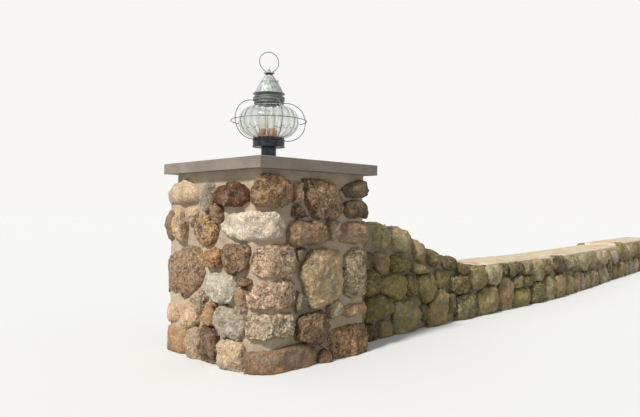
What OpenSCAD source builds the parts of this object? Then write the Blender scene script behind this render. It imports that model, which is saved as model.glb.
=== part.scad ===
// Fieldstone garden wall: a square stone pier under a slab cap, an onion lantern
// on the slab, and a wall that sweeps down from the pier and runs on in low bays.
// Millimetres, Z up. The origin is on the lowest ground at the middle of the pier.
// The wall runs along +X, and its front faces -Y.

/* [Pier] */
// Width of the pier across the faces of its stones
pier_w = 704; // [640:4:740]
// Height of the underside of the slab above the lowest ground
pier_h = 880; // [760:5:1100]
// Height of the smooth mortar neck under the slab
neck_h = 70; // [40:5:110]
// How far the mortar neck stands back from the stone faces
neck_inset = 22; // [10:1:40]
// Radius of the pier's rounded stone corners
corner_r = 50; // [20:5:90]

/* [Slab cap] */
// Width of the square slab
cap_w = 762; // [750:2:860]
// Thickness of the slab
cap_t = 51; // [38:1:76]
// Width of the eased edge round the slab's top and corners
cap_arris = 3; // [1:1:6]

/* [High wall and sweep] */
// Thickness of the wall
wall_t = 400; // [300:10:480]
// Height of the level shoulder beside the pier
shoulder_h = 625; // [525:5:700]
// Distance from the middle of the pier to where the sweep begins
shoulder_end = 660; // [500:10:900]
// Length of the S-shaped sweep along the wall
sweep_l = 1150; // [950:50:1500]
// Radius of the sweep's rounded upper part
sweep_r = 500; // [300:50:700]
// Depth of the course of upright coping stones along the top
coping_t = 130; // [90:5:160]

/* [Low wall] */
// Height of the low wall
low_h = 340; // [250:5:380]
// Number of low bays
low_bays = 5; // [1:1:5]
// Length of one low bay
bay_l = 1040; // [600:20:1500]
// Turn of the wall after its first low bay, in degrees
wall_bend = 6; // [0:1:12]
// How far the top steps up after the third low bay
far_step = 25; // [0:5:80]
// Thickness of the mortar wash on the low wall
wash_t = 25; // [20:1:40]
// Rise of the wash's crown from its edges to its middle
wash_crown = 10; // [4:1:15]

/* [Lantern stand] */
// How far the lantern stands off the middle of the slab along the wall
lantern_x = -8; // [-30:1:30]
// How far the lantern stands off the middle of the slab towards the back
lantern_y = 8; // [-30:1:30]
// Outside diameter of the post
post_d = 76; // [60:1:90]
// Wall of the post tube
post_wall = 3; // [2:0.5:5]
// Height of the post and its flange above the slab
post_h = 88; // [60:1:140]
// Diameter of the flange screwed to the slab
flange_d = 130; // [110:2:160]
// Thickness of the flange
flange_t = 6; // [4:1:10]
// Diameter of the drum under the globe, over its rims
drum_d = 164; // [150:2:180]
// Height of the drum
drum_h = 37; // [30:1:50]

/* [Globe] */
// Radius of the round section that the globe is turned from
globe_arc_r = 80; // [70:1:90]
// Distance from the lantern's axis to the middle of that section
globe_offset = 73; // [66:1:80]
// Thickness of the glass
glass_t = 3; // [2:0.5:4]
// Outside radius of the globe's neck
globe_neck_r = 70; // [64:1:72]
// Number of upright ribs moulded inside the glass
ribs = 24; // [12:2:28]
// How far a rib stands in from the inside of the glass
rib_depth = 3; // [1:0.5:4]

/* [Guard] */
// Thickness of the guard wire
guard_d = 4; // [3:0.5:5]
// Radius of the half circle that each upright guard wire makes
guard_arc_r = 96; // [90:1:105]
// Distance from the lantern's axis to the middle of that half circle
guard_offset = 98; // [92:1:110]
// Directions of the four upright guard wires, in degrees from +X
guard_turns = [65, 173, 249, 335]; // [0:1:360]

/* [Roof] */
// Radius of the roof's rolled eave
eave_r = 80; // [78:1:90]
// Height of the cone from eave to vent
roof_h = 94; // [80:1:110]
// Radius at the top of the cone
roof_top_r = 22; // [19:1:26]
// How far the cone's side bulges beyond a straight line
roof_bulge = 3; // [1:0.5:6]
// Thickness of the sheet metal
sheet_t = 2; // [1.5:0.5:3]
// Radius of the scalloped vent cap
vent_r = 28; // [22:1:30]
// Number of scallops round the vent cap
scallops = 8; // [6:1:12]
// Radius of the hanging ring, to the middle of its wire
ring_r = 50; // [40:1:60]
// Direction in which the hanging ring stands, in degrees from +X
ring_turn = 155; // [0:5:180]

/* [Hidden] */
$fn = 72;

// Pier
neck_w = pier_w - 2 * neck_inset;
body_h = pier_h - neck_h;
cap_top = pier_h + cap_t;

// Sweep: two tangent arcs that turn by the same angle, one way and back
sweep_drop = shoulder_h - low_h;
sweep_turn = 2 * atan(sweep_drop / sweep_l);
tail_r = sweep_drop / (1 - cos(sweep_turn)) - sweep_r;
sweep_end = shoulder_end + sweep_l;
arc_steps = 10;

// Lantern heights above the slab
drum_top = post_h + drum_h;
gallery_t = 6;
gallery_top = drum_top + gallery_t;
gallery_r = 78;
gallery_rim = 2.5;
gallery_rim_h = 3.5;
globe_z = gallery_top + 4 + globe_arc_r;
globe_neck_in = globe_neck_r - glass_t;
globe_shoulder_z = globe_z + globe_arc_r - glass_t;
globe_neck_h = 24;
globe_foot_r = globe_offset - 1;
rib_steps = 4;
collar_z = globe_shoulder_z + 14;
collar_r = 79;
collar_waist_r = 75;
collar_h = 26;
bead_z = collar_z + collar_h;
bead_h = 8;
bead_r = 80;
band_z = bead_z + bead_h;
band_h = 15;
band_r = 64;
roof_z = band_z + band_h;
seam_share = 0.62;
seam_lap = 3;
vent_z = roof_z + roof_h;
vent_neck_r = 18;
vent_neck_h = 11;
vent_cap_h = 15;
vent_crown_r = 7;
vent_edge_t = 2;
lug_r = 3.5;
lug_h = 12;
lug_offset = 20;
finial_z = vent_z + vent_neck_h + vent_cap_h - 1;
finial_h = 24;
ring_wire_r = 2;
guard_z = globe_z + 4;
guard_ring_r = guard_offset + guard_arc_r - guard_d;
guard_top = guard_z + guard_arc_r;
guard_foot = guard_z - guard_arc_r;

// Candle cluster inside the globe
candles = 3;
candle_turn = 145;
candle_offset = 35;
dish_r = 56;
dish_h = 12;
cup_r = 19;
cup_h = 36;
sleeve_r = 17;
sleeve_h = 64;
bulb_r = 11;
bulb_h = 46;
sleeve_z = gallery_top + dish_h + cup_h;
bulb_z = sleeve_z + sleeve_h;

// Thumb nut that holds the roof
nut_turn = -45;
nut_share = 0.73;
nut_z = roof_z + roof_h * nut_share;
nut_r = roof_side(nut_share);

low_names = [for (i = [1 : low_bays]) str("low_wall_", i)];
wash_names = [for (i = [1 : low_bays]) str("low_wash_", i)];
sleeve_names = [for (i = [1 : candles]) str("candle_sleeve_", i)];
bulb_names = [for (i = [1 : candles]) str("bulb_", i)];
wire_names = [for (i = [1 : 4]) str("guard_wire_", i)];

// Points of an arc about a middle point, from one angle to another
function arc(middle, r, from, to, steps) =
    [for (k = [0 : steps]) middle + r * [cos(from + (to - from) * k / steps),
                                         sin(from + (to - from) * k / steps)]];

// The sweep's curve from shoulder to low wall, moved down square to itself
function sweep_curve(lowered) = concat(
    arc([shoulder_end, shoulder_h - sweep_r], sweep_r - lowered,
        90, 90 - sweep_turn, arc_steps),
    [for (p = arc([sweep_end, low_h + tail_r], tail_r + lowered,
                  270 - sweep_turn, 270, arc_steps)) if (p[0] > sweep_join(lowered)) p]);

// Where the two arcs of the sweep meet
function sweep_join(lowered) =
    shoulder_end + (sweep_r - lowered) * sin(sweep_turn) + 0.01;

// Heading of a low bay, its turn from the bay before, and where it starts
function heading(i) = i > 1 ? wall_bend : 0;
function turn_at(i) = i > 1 ? heading(i) - heading(i - 1) : 0;
function station(i) = i <= 1
    ? [sweep_end, 0]
    : station(i - 1) + bay_l * [cos(heading(i - 1)), sin(heading(i - 1))];

// Corner of the wall's plan at the start of a bay, on the mitre of its turn
function plan_corner(i, side) =
    let (across = heading(i) - turn_at(i) / 2 + 90)
    station(i) + side * wall_t / 2 / cos(turn_at(i) / 2) * [cos(across), sin(across)];

function bay_h(i) = low_h + (i > 3 ? far_step : 0);

// Radius of the roof's side at a share of its height, bulged like a shallow bell
function roof_side(share) =
    eave_r - 4 + (roof_top_r - eave_r + 4) * share + roof_bulge * sin(180 * share);

// The masonry of the pier, with the rounded stone corners
module pier_body() {
    color("rosybrown")
    union() {
        translate([-pier_w / 2, corner_r - pier_w / 2, 0])
            cube([pier_w, pier_w - 2 * corner_r, body_h]);
        translate([corner_r - pier_w / 2, -pier_w / 2, 0])
            cube([pier_w - 2 * corner_r, pier_w, body_h]);
        for (x = [-1, 1], y = [-1, 1])
            translate([x * (pier_w / 2 - corner_r), y * (pier_w / 2 - corner_r), 0])
                cylinder(r = corner_r, h = body_h);
    }
}

// The smooth band of mortar that beds the slab
module pier_neck() {
    color("tan")
    translate([-neck_w / 2, -neck_w / 2, body_h])
        cube([neck_w, neck_w, neck_h]);
}

// A square outline with eased corners
module eased_square(w, ease) {
    half = w / 2;
    inner = half - ease;
    polygon([[-inner, -half], [inner, -half], [half, -inner], [half, inner],
             [inner, half], [-inner, half], [-half, inner], [-half, -inner]]);
}

// The side view of the slab, eased along its top
module slab_profile() {
    half = cap_w / 2;
    polygon([[-half, 0], [half, 0], [half, cap_t - cap_arris],
             [half - cap_arris, cap_t], [cap_arris - half, cap_t],
             [-half, cap_t - cap_arris]]);
}

// The sawn stone slab
module pier_cap() {
    color("dimgray")
    translate([0, 0, pier_h])
    intersection() {
        linear_extrude(cap_t) eased_square(cap_w, cap_arris);
        translate([0, cap_w / 2, 0]) rotate([90, 0, 0])
            linear_extrude(cap_w) slab_profile();
        translate([-cap_w / 2, 0, 0]) rotate([90, 0, 90])
            linear_extrude(cap_w) slab_profile();
    }
}

// An upright outline stood across the thickness of the wall
module across_wall() {
    translate([0, wall_t / 2, 0]) rotate([90, 0, 0])
        linear_extrude(wall_t) children();
}

// The level high wall beside the pier, under its coping
module shoulder_wall() {
    color("darkkhaki")
    translate([pier_w / 2, -wall_t / 2, 0])
        cube([shoulder_end - pier_w / 2, wall_t, shoulder_h - coping_t]);
}

module shoulder_coping() {
    color("burlywood")
    translate([pier_w / 2, -wall_t / 2, shoulder_h - coping_t])
        cube([shoulder_end - pier_w / 2, wall_t, coping_t]);
}

// The wall under the sweep of coping stones
module sweep_wall() {
    color("darkkhaki")
    across_wall()
        polygon(concat([[sweep_end, 0], [shoulder_end, 0]], sweep_curve(coping_t)));
}

// The course of coping stones that follows the sweep
module sweep_coping() {
    under = sweep_curve(coping_t);
    last = len(under) - 1;
    color("burlywood")
    across_wall()
        polygon(concat(sweep_curve(0), [for (k = [0 : last]) under[last - k]]));
}

// The plan of one low bay, mitred where the wall turns
module bay_plan(i) {
    polygon([plan_corner(i, 1), plan_corner(i, -1),
             plan_corner(i + 1, -1), plan_corner(i + 1, 1)]);
}

// The masonry of one low bay
module low_wall(i) {
    color("darkkhaki")
    linear_extrude(bay_h(i) - wash_t) bay_plan(i);
}

// The end view of the mortar wash, crowned so that it sheds water
module wash_profile() {
    half = wall_t / 2;
    crown_r = (half * half + wash_crown * wash_crown) / 2 / wash_crown;
    side_turn = asin((half + wash_t) / crown_r);
    polygon(concat([[-half - wash_t, 0], [half + wash_t, 0]],
                   arc([0, wash_t - crown_r], crown_r,
                       90 - side_turn, 90 + side_turn, arc_steps)));
}

// The mortar wash on one low bay
module low_wash(i) {
    color("wheat")
    translate([0, 0, bay_h(i) - wash_t])
    intersection() {
        linear_extrude(wash_t) bay_plan(i);
        translate(station(i)) rotate([90, 0, 90 + heading(i)])
            translate([0, 0, -wash_t])
            linear_extrude(bay_l + 2 * wash_t) wash_profile();
    }
}

// Puts a piece of the lantern at its height above the slab
module on_slab(z) {
    translate([lantern_x, lantern_y, cap_top + z]) children();
}

// The flange that holds the post to the slab, with a fillet round the post
module post_flange() {
    color("darkslategray")
    on_slab(0)
    rotate_extrude()
        polygon([[0, 0], [flange_d / 2, 0], [flange_d / 2, flange_t - 2],
                 [flange_d / 2 - 2, flange_t], [0, flange_t]]);
}

// The tube that lifts the lantern
module post() {
    color("darkslategray")
    on_slab(flange_t)
    difference() {
        cylinder(d = post_d, h = post_h - flange_t);
        translate([0, 0, -1])
            cylinder(d = post_d - 2 * post_wall, h = post_h - flange_t + 2);
    }
}

// The drum between post and globe, with a rim at each end and a bead between
module base_drum() {
    rim_r = drum_d / 2;
    side_r = rim_r - 2.5;
    bead_at = drum_h / 2;
    color("slategray")
    on_slab(post_h)
    rotate_extrude()
        polygon([[0, 0], [rim_r, 0], [rim_r, 4], [side_r, 6], [side_r, bead_at - 2],
                 [rim_r - 1, bead_at - 0.8], [rim_r - 1, bead_at + 0.8],
                 [side_r, bead_at + 2], [side_r, drum_h - 6], [rim_r, drum_h - 4],
                 [rim_r, drum_h], [0, drum_h]]);
}

// The dark dish that seats the glass
module globe_gallery() {
    color("darkslategray")
    on_slab(drum_top)
    rotate_extrude()
        polygon([[0, 0], [gallery_r, 0], [gallery_r, gallery_t + gallery_rim_h],
                 [gallery_r - gallery_rim, gallery_t + gallery_rim_h],
                 [gallery_r - gallery_rim, gallery_t], [0, gallery_t]]);
}

// Places a child at each candle
module at_candle(i) {
    rotate([0, 0, candle_turn + i * 360 / candles])
        translate([candle_offset, 0, 0]) children();
}

// The copper dish with a cup for each candle
module candle_base() {
    color("peru")
    on_slab(gallery_top)
    union() {
        cylinder(r = dish_r, h = dish_h);
        for (i = [1 : candles])
            at_candle(i) translate([0, 0, dish_h - 1]) cylinder(r = cup_r, h = cup_h + 1);
    }
}

module candle_sleeve(i) {
    color("ivory")
    on_slab(sleeve_z) at_candle(i)
        cylinder(r = sleeve_r, h = sleeve_h);
}

// A flame-shaped bulb
module bulb(i) {
    color("white")
    on_slab(bulb_z) at_candle(i)
    rotate_extrude()
        polygon([[0, 0], [bulb_r * 0.6, 0], [bulb_r * 0.95, bulb_h * 0.2],
                 [bulb_r, bulb_h * 0.35], [bulb_r * 0.8, bulb_h * 0.6],
                 [bulb_r * 0.35, bulb_h * 0.85], [0, bulb_h]]);
}

// Angle on the globe's round section at which it reaches a distance from the axis
function section_turn(distance, r) = acos((distance - globe_offset) / r);

// Points of the globe's round section, each with the share of the ribs' depth there
function globe_points(r, from, to, steps, ribbed) =
    [for (k = [0 : steps]) let (turn = from + (to - from) * k / steps)
        [globe_offset + r * cos(turn), globe_z + r * sin(turn),
         ribbed ? sqrt(max(0, cos(turn))) : 0]];

// The glass in section: up the smooth outside from foot to neck, then down the ribbed inside
function globe_section() =
    let (inside_r = globe_arc_r - glass_t,
         neck_top = globe_shoulder_z + globe_neck_h,
         inside_turn = section_turn(globe_neck_in, inside_r))
    concat([[globe_foot_r, gallery_top, 0]],
           globe_points(globe_arc_r, -section_turn(globe_foot_r, globe_arc_r),
                        section_turn(globe_neck_r, globe_arc_r), 12, false),
           [[globe_neck_r, neck_top, 0], [globe_neck_in, neck_top, 0]],
           globe_points(inside_r, inside_turn, -inside_turn, 10, true),
           [[globe_neck_in, gallery_top, 0]]);

// The ribbed onion globe, its section carried round while the ribs rise and fall inside it
module glass_globe() {
    section = globe_section();
    count = len(section);
    around = ribs * rib_steps;
    points = [for (i = [0 : around - 1], p = section)
        let (turn = i * 360 / around,
             r = p[0] - p[2] * rib_depth * (1 - cos(ribs * turn)) / 2)
        [r * cos(turn), r * sin(turn), p[1]]];
    faces = [for (i = [0 : around - 1], k = [0 : count - 1])
        let (here = i * count, next = (i + 1) % around * count, up = (k + 1) % count)
        for (face = [[here + k, here + up, next + up], [here + k, next + up, next + k]])
            face];
    color("lightcyan", 0.5)
    on_slab(0)
        polyhedron(points, faces);
}

// The collar round the globe's neck
module globe_collar() {
    color("cadetblue")
    on_slab(collar_z)
    rotate_extrude()
        polygon([[globe_neck_r, 0], [collar_waist_r - 1.5, 0], [collar_waist_r, 2],
                 [collar_waist_r, 12], [collar_r, 15], [collar_r, collar_h - 3],
                 [collar_r - 1.5, collar_h - 2], [collar_r - 1.5, collar_h],
                 [globe_neck_r, collar_h]]);
}

// The half-round bead between collar and roof
module collar_bead() {
    color("cadetblue")
    on_slab(bead_z)
    rotate_extrude()
        polygon(concat([[0, 0]],
                       [for (p = arc([bead_r - bead_h / 2, bead_h / 2], bead_h / 2,
                                     -90, 90, arc_steps)) p],
                       [[0, bead_h]]));
}

// The plain band that carries the roof, set back under its eave
module roof_band() {
    color("slategray")
    on_slab(band_z)
    rotate_extrude()
        polygon([[0, 0], [band_r, 0], [band_r, band_h], [0, band_h]]);
}

// Points up the outside of the roof between two shares of its height
function roof_points(from, to, thinner, steps) =
    [for (k = [0 : steps]) let (share = from + (to - from) * k / steps)
        [roof_side(share) - thinner, roof_h * share]];

// The points of a list the other way round
function reversed(points) =
    [for (k = [len(points) - 1 : -1 : 0]) points[k]];

// The lower sheet of the roof, with its rolled eave and the soffit that seats it
module roof_skirt() {
    soffit_r = band_r - 4;
    color("lightslategray")
    on_slab(roof_z)
    rotate_extrude()
        polygon(concat([[soffit_r, 0], [eave_r, 0], [eave_r, 3]],
                       roof_points(0.04, seam_share, 0, 6),
                       reversed(roof_points(0.04, seam_share, 1.5 * sheet_t, 6)),
                       [[soffit_r, sheet_t]]));
}

// The upper sheet of the roof, lapped over the skirt with a rolled edge
module roof_crown() {
    seam_h = roof_h * seam_share;
    seam_r = roof_side(seam_share);
    color("lightslategray")
    on_slab(roof_z)
    rotate_extrude()
        polygon(concat([[seam_r - 1.5 * sheet_t, seam_h], [seam_r + 1.5, seam_h],
                        [seam_r + 1.5, seam_h + seam_lap]],
                       roof_points(seam_share + 0.06, 1, 0, 4),
                       [[0, roof_h], [0, roof_h - sheet_t],
                        [roof_top_r - 1.5 * sheet_t, roof_h - sheet_t]]));
}

// The short tube that lets the heat out under the cap
module vent_neck() {
    color("black")
    on_slab(vent_z)
        cylinder(r = vent_neck_r, h = vent_neck_h);
}

// Puts a child on each side of the lantern's axis, in the plane of the hanging ring
module at_ring_ends() {
    for (side = [-1, 1])
        rotate([0, 0, ring_turn]) translate([side * lug_offset, 0, 0]) children();
}

// The scalloped vent cap, with a lug for each end of the hanging ring
module vent_cap() {
    scallop_r = vent_r * sin(180 / scallops) * 0.6;
    color("cadetblue")
    on_slab(vent_z + vent_neck_h)
    union() {
        difference() {
            rotate_extrude()
                polygon([[0, 0], [vent_r, 0], [vent_r, vent_edge_t],
                         [vent_r * 0.75, 6], [vent_r * 0.5, 9],
                         [vent_crown_r, vent_cap_h - 1], [0, vent_cap_h - 1]]);
            for (k = [1 : scallops])
                rotate([0, 0, (k + 0.5) * 360 / scallops])
                    translate([vent_r + scallop_r * 0.4, 0, -1])
                    cylinder(r = scallop_r, h = vent_cap_h);
        }
        at_ring_ends() cylinder(r = lug_r, h = lug_h);
    }
}

// The turned spike
module finial() {
    color("cadetblue")
    on_slab(finial_z)
    rotate_extrude()
        polygon([[0, 0], [vent_crown_r, 0], [8, 3], [5, 6], [3, 9], [1.2, 17],
                 [0.6, finial_h], [0, finial_h]]);
}

// The wire ring that the lantern was carried by, between the lugs of the vent cap
module hanging_ring() {
    end_turn = asin(lug_offset / ring_r);
    ring_z = vent_z + vent_neck_h + lug_h + ring_r * cos(end_turn);
    color("cadetblue")
    on_slab(ring_z)
    rotate([90, 0, ring_turn])
    rotate([0, 0, end_turn - 90])
    rotate_extrude(angle = 360 - 2 * end_turn)
        translate([ring_r, 0]) circle(r = ring_wire_r, $fn = 24);
}

// The level ring of the guard, inside the upright wires
module guard_ring() {
    color("cadetblue")
    on_slab(guard_z)
    rotate_extrude()
        translate([guard_ring_r, 0]) circle(d = guard_d, $fn = 24);
}

// One upright guard wire, from the collar round the globe to the drum's rim
module guard_wire(i) {
    color("cadetblue")
    on_slab(0)
    rotate([0, 0, guard_turns[i - 1]])
    union() {
        translate([guard_offset, 0, guard_z]) rotate([90, 0, 0]) rotate([0, 0, -90])
            rotate_extrude(angle = 180)
            translate([guard_arc_r, 0]) circle(d = guard_d, $fn = 24);
        difference() {
            translate([0, 0, guard_top]) rotate([0, 90, 0])
                cylinder(d = guard_d, h = guard_offset, $fn = 24);
            translate([0, 0, guard_top - guard_d])
                cylinder(r = collar_waist_r, h = 2 * guard_d);
        }
        difference() {
            translate([0, 0, guard_foot]) rotate([0, 90, 0])
                cylinder(d = guard_d, h = guard_offset, $fn = 24);
            translate([0, 0, guard_foot - guard_d])
                cylinder(d = drum_d, h = 2 * guard_d);
        }
    }
}

// The thumb nut on the side of the roof
module thumb_nut() {
    color("darkslategray")
    on_slab(nut_z)
    rotate([0, 0, nut_turn])
    union() {
        translate([nut_r - 4, 0, 0]) rotate([0, 90, 0]) cylinder(d = 4, h = 14, $fn = 24);
        translate([nut_r + 1, 0, 0]) rotate([0, 90, 0]) cylinder(d = 8, h = 5, $fn = 24);
        translate([nut_r + 6, -2, -7]) cube([3, 4, 14]);
    }
}

pier_body();
pier_neck();
pier_cap();
shoulder_wall();
shoulder_coping();
sweep_wall();
sweep_coping();
for (i = [1 : low_bays]) low_wall(i);
for (i = [1 : low_bays]) low_wash(i);
post_flange();
post();
base_drum();
globe_gallery();
candle_base();
for (i = [1 : candles]) candle_sleeve(i);
for (i = [1 : candles]) bulb(i);
glass_globe();
globe_collar();
collar_bead();
roof_band();
roof_skirt();
roof_crown();
vent_neck();
vent_cap();
finial();
hanging_ring();
guard_ring();
for (i = [1 : 4]) guard_wire(i);
thumb_nut();
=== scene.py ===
"""Fieldstone garden wall with a square pier, a slab cap and an onion lantern.

Metres, Z up. The wall runs along +X from the pier, and its front faces -Y.
Every fieldstone is a boulder cut back to its joints with its neighbours, then rounded and roughened.
Stones that the photograph shows stand at their measured places. The rest are coursed by rule.
"""

import math
import random

import bmesh
import bpy
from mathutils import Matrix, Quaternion, Vector


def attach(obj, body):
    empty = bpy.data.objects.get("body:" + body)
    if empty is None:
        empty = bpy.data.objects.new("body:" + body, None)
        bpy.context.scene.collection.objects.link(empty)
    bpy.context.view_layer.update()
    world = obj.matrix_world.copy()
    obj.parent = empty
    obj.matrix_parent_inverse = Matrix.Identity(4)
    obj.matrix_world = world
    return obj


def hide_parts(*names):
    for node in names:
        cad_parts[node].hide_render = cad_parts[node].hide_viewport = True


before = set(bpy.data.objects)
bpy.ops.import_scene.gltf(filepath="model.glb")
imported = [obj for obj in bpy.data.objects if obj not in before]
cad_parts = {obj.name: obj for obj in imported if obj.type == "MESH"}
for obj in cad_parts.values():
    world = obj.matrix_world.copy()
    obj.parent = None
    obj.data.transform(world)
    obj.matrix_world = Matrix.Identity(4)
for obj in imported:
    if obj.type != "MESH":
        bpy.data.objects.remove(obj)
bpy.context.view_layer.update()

MM = 0.001

# Camera, worked out from the six corners of the slab that show
CAMERA_PLACE = (-1.958, -2.315, 0.696)
CAMERA_HEADING = math.radians(44.94)
CAMERA_RISE = math.radians(0.31)
CAMERA_ROLL = math.radians(0.35)
CAMERA_LENS = 33.75
CAMERA_SENSOR = 36

# Light
SUN_FROM = (-0.74, -0.10, 0.74)
SUN_STRENGTH = 3.5
SUN_SPREAD = math.radians(7)
SUN_COLOUR = (1.0, 0.96, 0.90)
SKY_STRENGTH = 0.45
SKY_COLOUR = (1.0, 0.99, 0.97)
BACKGROUND = 0.94
BACKGROUND_COLOUR = (1.0, 0.99, 0.975)

# Floor: its two tones as seen, the one that gives light back, and its size and place
FLOOR_COLOUR = (0.736, 0.756, 0.775)
FLOOR_PALER = (0.745, 0.766, 0.788)
FLOOR_BOUNCE = (0.50, 0.50, 0.50)
FLOOR_CLOUDS = 0.8
FLOOR_ROUGHNESS = 0.9
FLOOR_HALF = 60
FLOOR_DROP = 0.001

# Masonry, as in the part's source
PIER_HALF = 0.352
WALL_HALF = 0.200
SHOULDER_H = 0.625
SHOULDER_END = 0.660
LOW_H = 0.340
FAR_STEP = 0.025
SWEEP_END = 1.810
SWEEP_R = 0.500
BEND_AT = 2.850
BEND = 6
STEP_AT = 4.930
WALL_END = 7.010

SWEEP_TURN = 2 * math.atan((SHOULDER_H - LOW_H) / (SWEEP_END - SHOULDER_END))
TAIL_R = (SHOULDER_H - LOW_H) / (1 - math.cos(SWEEP_TURN)) - SWEEP_R

# Lantern, as in the part's source
LANTERN_AXIS = (-0.008, 0.008)
GLOBE_RIBS = 24

# Joints: their width, the share of a stone's lesser side by which its core stands in from its
# outline, how far apart two stones still share a joint, and how near to each other two cores have
# to be for the stones' middles to stand in for them
JOINT = 0.006
CORE_SHARE = 0.40
REACH = 0.060
CORES_TOUCH = 0.004

# Outlines: how far they are let out, because rounding takes their edges in, where the lowest
# stones start and which are lowest, and where the pier's highest end
SWELL = 0.020
FOOT = -0.040
LOWEST = 0.010
STONE_TOP = 0.858

# Shares of a side that the cuts across a stone's corners take, and the range of a light cut
CLIP_SHARES = {"": 0.34, "+": 0.44, "!": 0.54}
LIGHT_CLIP = (0.12, 0.26)

# Boulders on one face: how far they stand out and are crowned, how deep they go, and how much
# fuller than the outline they start
PROUD = 0.016
PROUD_UNEVEN = (-0.005, 0.006)
CROWN = 0.026
CROWN_SHARE = 0.16
BEDDED = 0.080
DEPTH_SHARE = 0.55
DEPTH_RANGE = (0.055, 0.105)
THROUGH_FULLER = 1.5
FACE_FULLER = (1.26, 1.42)

# Boulders across a corner: how much fuller they start, the slack past how far they stand out,
# and how far from the middle an upright cut has to lie to be made
CORNER_FULLER = (1.45, 1.62)
CORNER_SLACK = 0.004
CUT_OFF_MIDDLE = 0.02

# Cutting and rounding: size past which a boulder starts finer, least depth of a cut, weld of
# slivers, lift of flats, uneven points, spread of tint, and the arris of a corner's flat
FINER_OVER = 0.24
CUT_LEAST = 0.002
WELD = 0.012
FLATS_LIFTED = 0.005
LUMP = 0.009
TINT = (0.90, 1.10)
ARRIS_CREASE = 0.7
FLAT_FACING = 0.97

# Mortar: how far it is drawn back from the solid's face, its corners on the pier, the spare length
# of its foot, its sharpest smooth edge, the struck wash on the low wall with the depth down its
# sides that takes painted sunlight, and which parts are raised
MORTAR_RECESS = 0.014
FRONT_CORNER_CUT = 0.044
CORNER_POST = 0.100
CORNER_POST_TOP = 0.815
FOOT_SPARE = 0.030
FOOT_FLAT = 0.0005
MORTAR_EDGE = math.radians(55)
STONES_UNDER_WASH = 0.010
# Painted sunlight: mortar of the low wall above this depth under its top takes the pale sunlit copy, shade
# or not
PAINTED_SUN_DEPTH = 0.075
WASH_RAISED = 0.020
COPING_JOINTS_RAISED = 0.010
RAISED_OVER = 0.20
LOOKS_UP = 0.6

# Coursed stones: the least gap that takes one more, how much too wide one may be, how uneven
# courses and faces are, the share of corners cut, and the share of pitted stones
COURSE_GAP = 0.05
TOO_WIDE = 1.25
COURSE_UNEVEN = 0.016
FACE_UNEVEN = 0.006
CLIPPED_SHARE = 0.6
PITTED_SHARE = 0.35

# The low wall's courses: the least gap, width of one run, share of the height that its lower
# course takes, share and width of stones as tall as both, and how unevenly they end under the wash
RUN_GAP = 0.06
RUN_WIDTH = (0.30, 0.55)
SPLIT = (0.42, 0.58)
TALL_SHARE = 0.25
TALL_WIDTH = (0.13, 0.20)
TALL_SPARE = 0.01
WASH_UNEVEN = (-0.034, 0.014)

# Coping: lap of a stone's outline, its crest over the wall's top, the taper of its foot, how far
# its face and its back stand in, and the share of pitted stones
COPING_LAP = 0.004
COPING_SPARE = 0.006
COPING_CREST = 0.012
CREST_UNEVEN = (-0.004, 0.006)
COPING_TAPER = 0.018
COPING_SPLAY = 0.8
COPING_BACK = 0.006
COPING_MIDDLE_GAP = 0.012
COPING_PITTED = 0.25

# Stones under the coping: the gap to it, the least height that is kept, how near to the limit a
# stone is cut to it, the slack of its outline there, and the step that the top's slope is read over
UNDER_COPING = 0.010
LEAST_UNDER = 0.045
NEAR_LIMIT = 0.05
LIMIT_SLACK = 0.02
SLOPE_STEP = 0.01

# Weathering of the stones. A tint past 1 makes paler, and one under 1 darker
STONE_ROUGHNESS = 0.86
STAIN = (0.40, 0.25, 0.13)
CRUST = (1.50, 1.46, 1.40)
GREY = (0.33, 0.31, 0.28)
BLOTCH = 0.60
GRAIN = 0.36
CRYSTAL = (1.80, 1.76, 1.68)
# Painted shade: the dark colour laid in the pits
PIT_PAINTED_SHADE = (0.30, 0.26, 0.22)
MOSS = (0.140, 0.128, 0.042)
LICHEN = (0.42, 0.40, 0.31)
NEAR_MOSS = 0.62
FAR_MOSS = 0.20

# Weathering of the mortar
MORTAR_ROUGHNESS = 0.93
SAND = 0.0035
DARK_SAND = 0.5
PALE_SAND = (0.80, 0.72, 0.58)
DAMP = (0.30, 0.26, 0.18)
DAMP_HEIGHT = 0.16

# Weathering of the lantern's metal, with rain streaks and painted sheen drawn out upright, and its glass,
# whose ribs carry painted reflection
STREAK_STRETCH = (1, 1, 0.04)
RAIN_RUN_AND_SHEEN = (0.66, 0.70, 0.66)
GRIME = (0.13, 0.15, 0.14)
GLASS_IOR = 1.47
GLASS_ROUGHNESS = 0.02
BULB_ROUGHNESS = 0.03
BETWEEN_RIBS = (0.95, 0.965, 0.95)
# Painted reflection: the darker tint along the ribs stands for dark surroundings seen in the glass
RIB_PAINTED_REFLECTION = (0.72, 0.76, 0.73)
GLASS_DUST = (0.84, 0.86, 0.81)

# Slab
SLAB_ROUGHNESS = 0.88
SLAB_DARK = (0.180, 0.153, 0.125)
SLAB_PALE = (0.300, 0.263, 0.222)
SLAB_SPECK = 0.55
SLAB_SAND = (0.46, 0.42, 0.37)

# Seeds of the draws that place and vary the stones
PIER_DRAW = 11
NEAR_WALL_DRAW = 23
FAR_WALL_DRAW = 37

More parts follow.
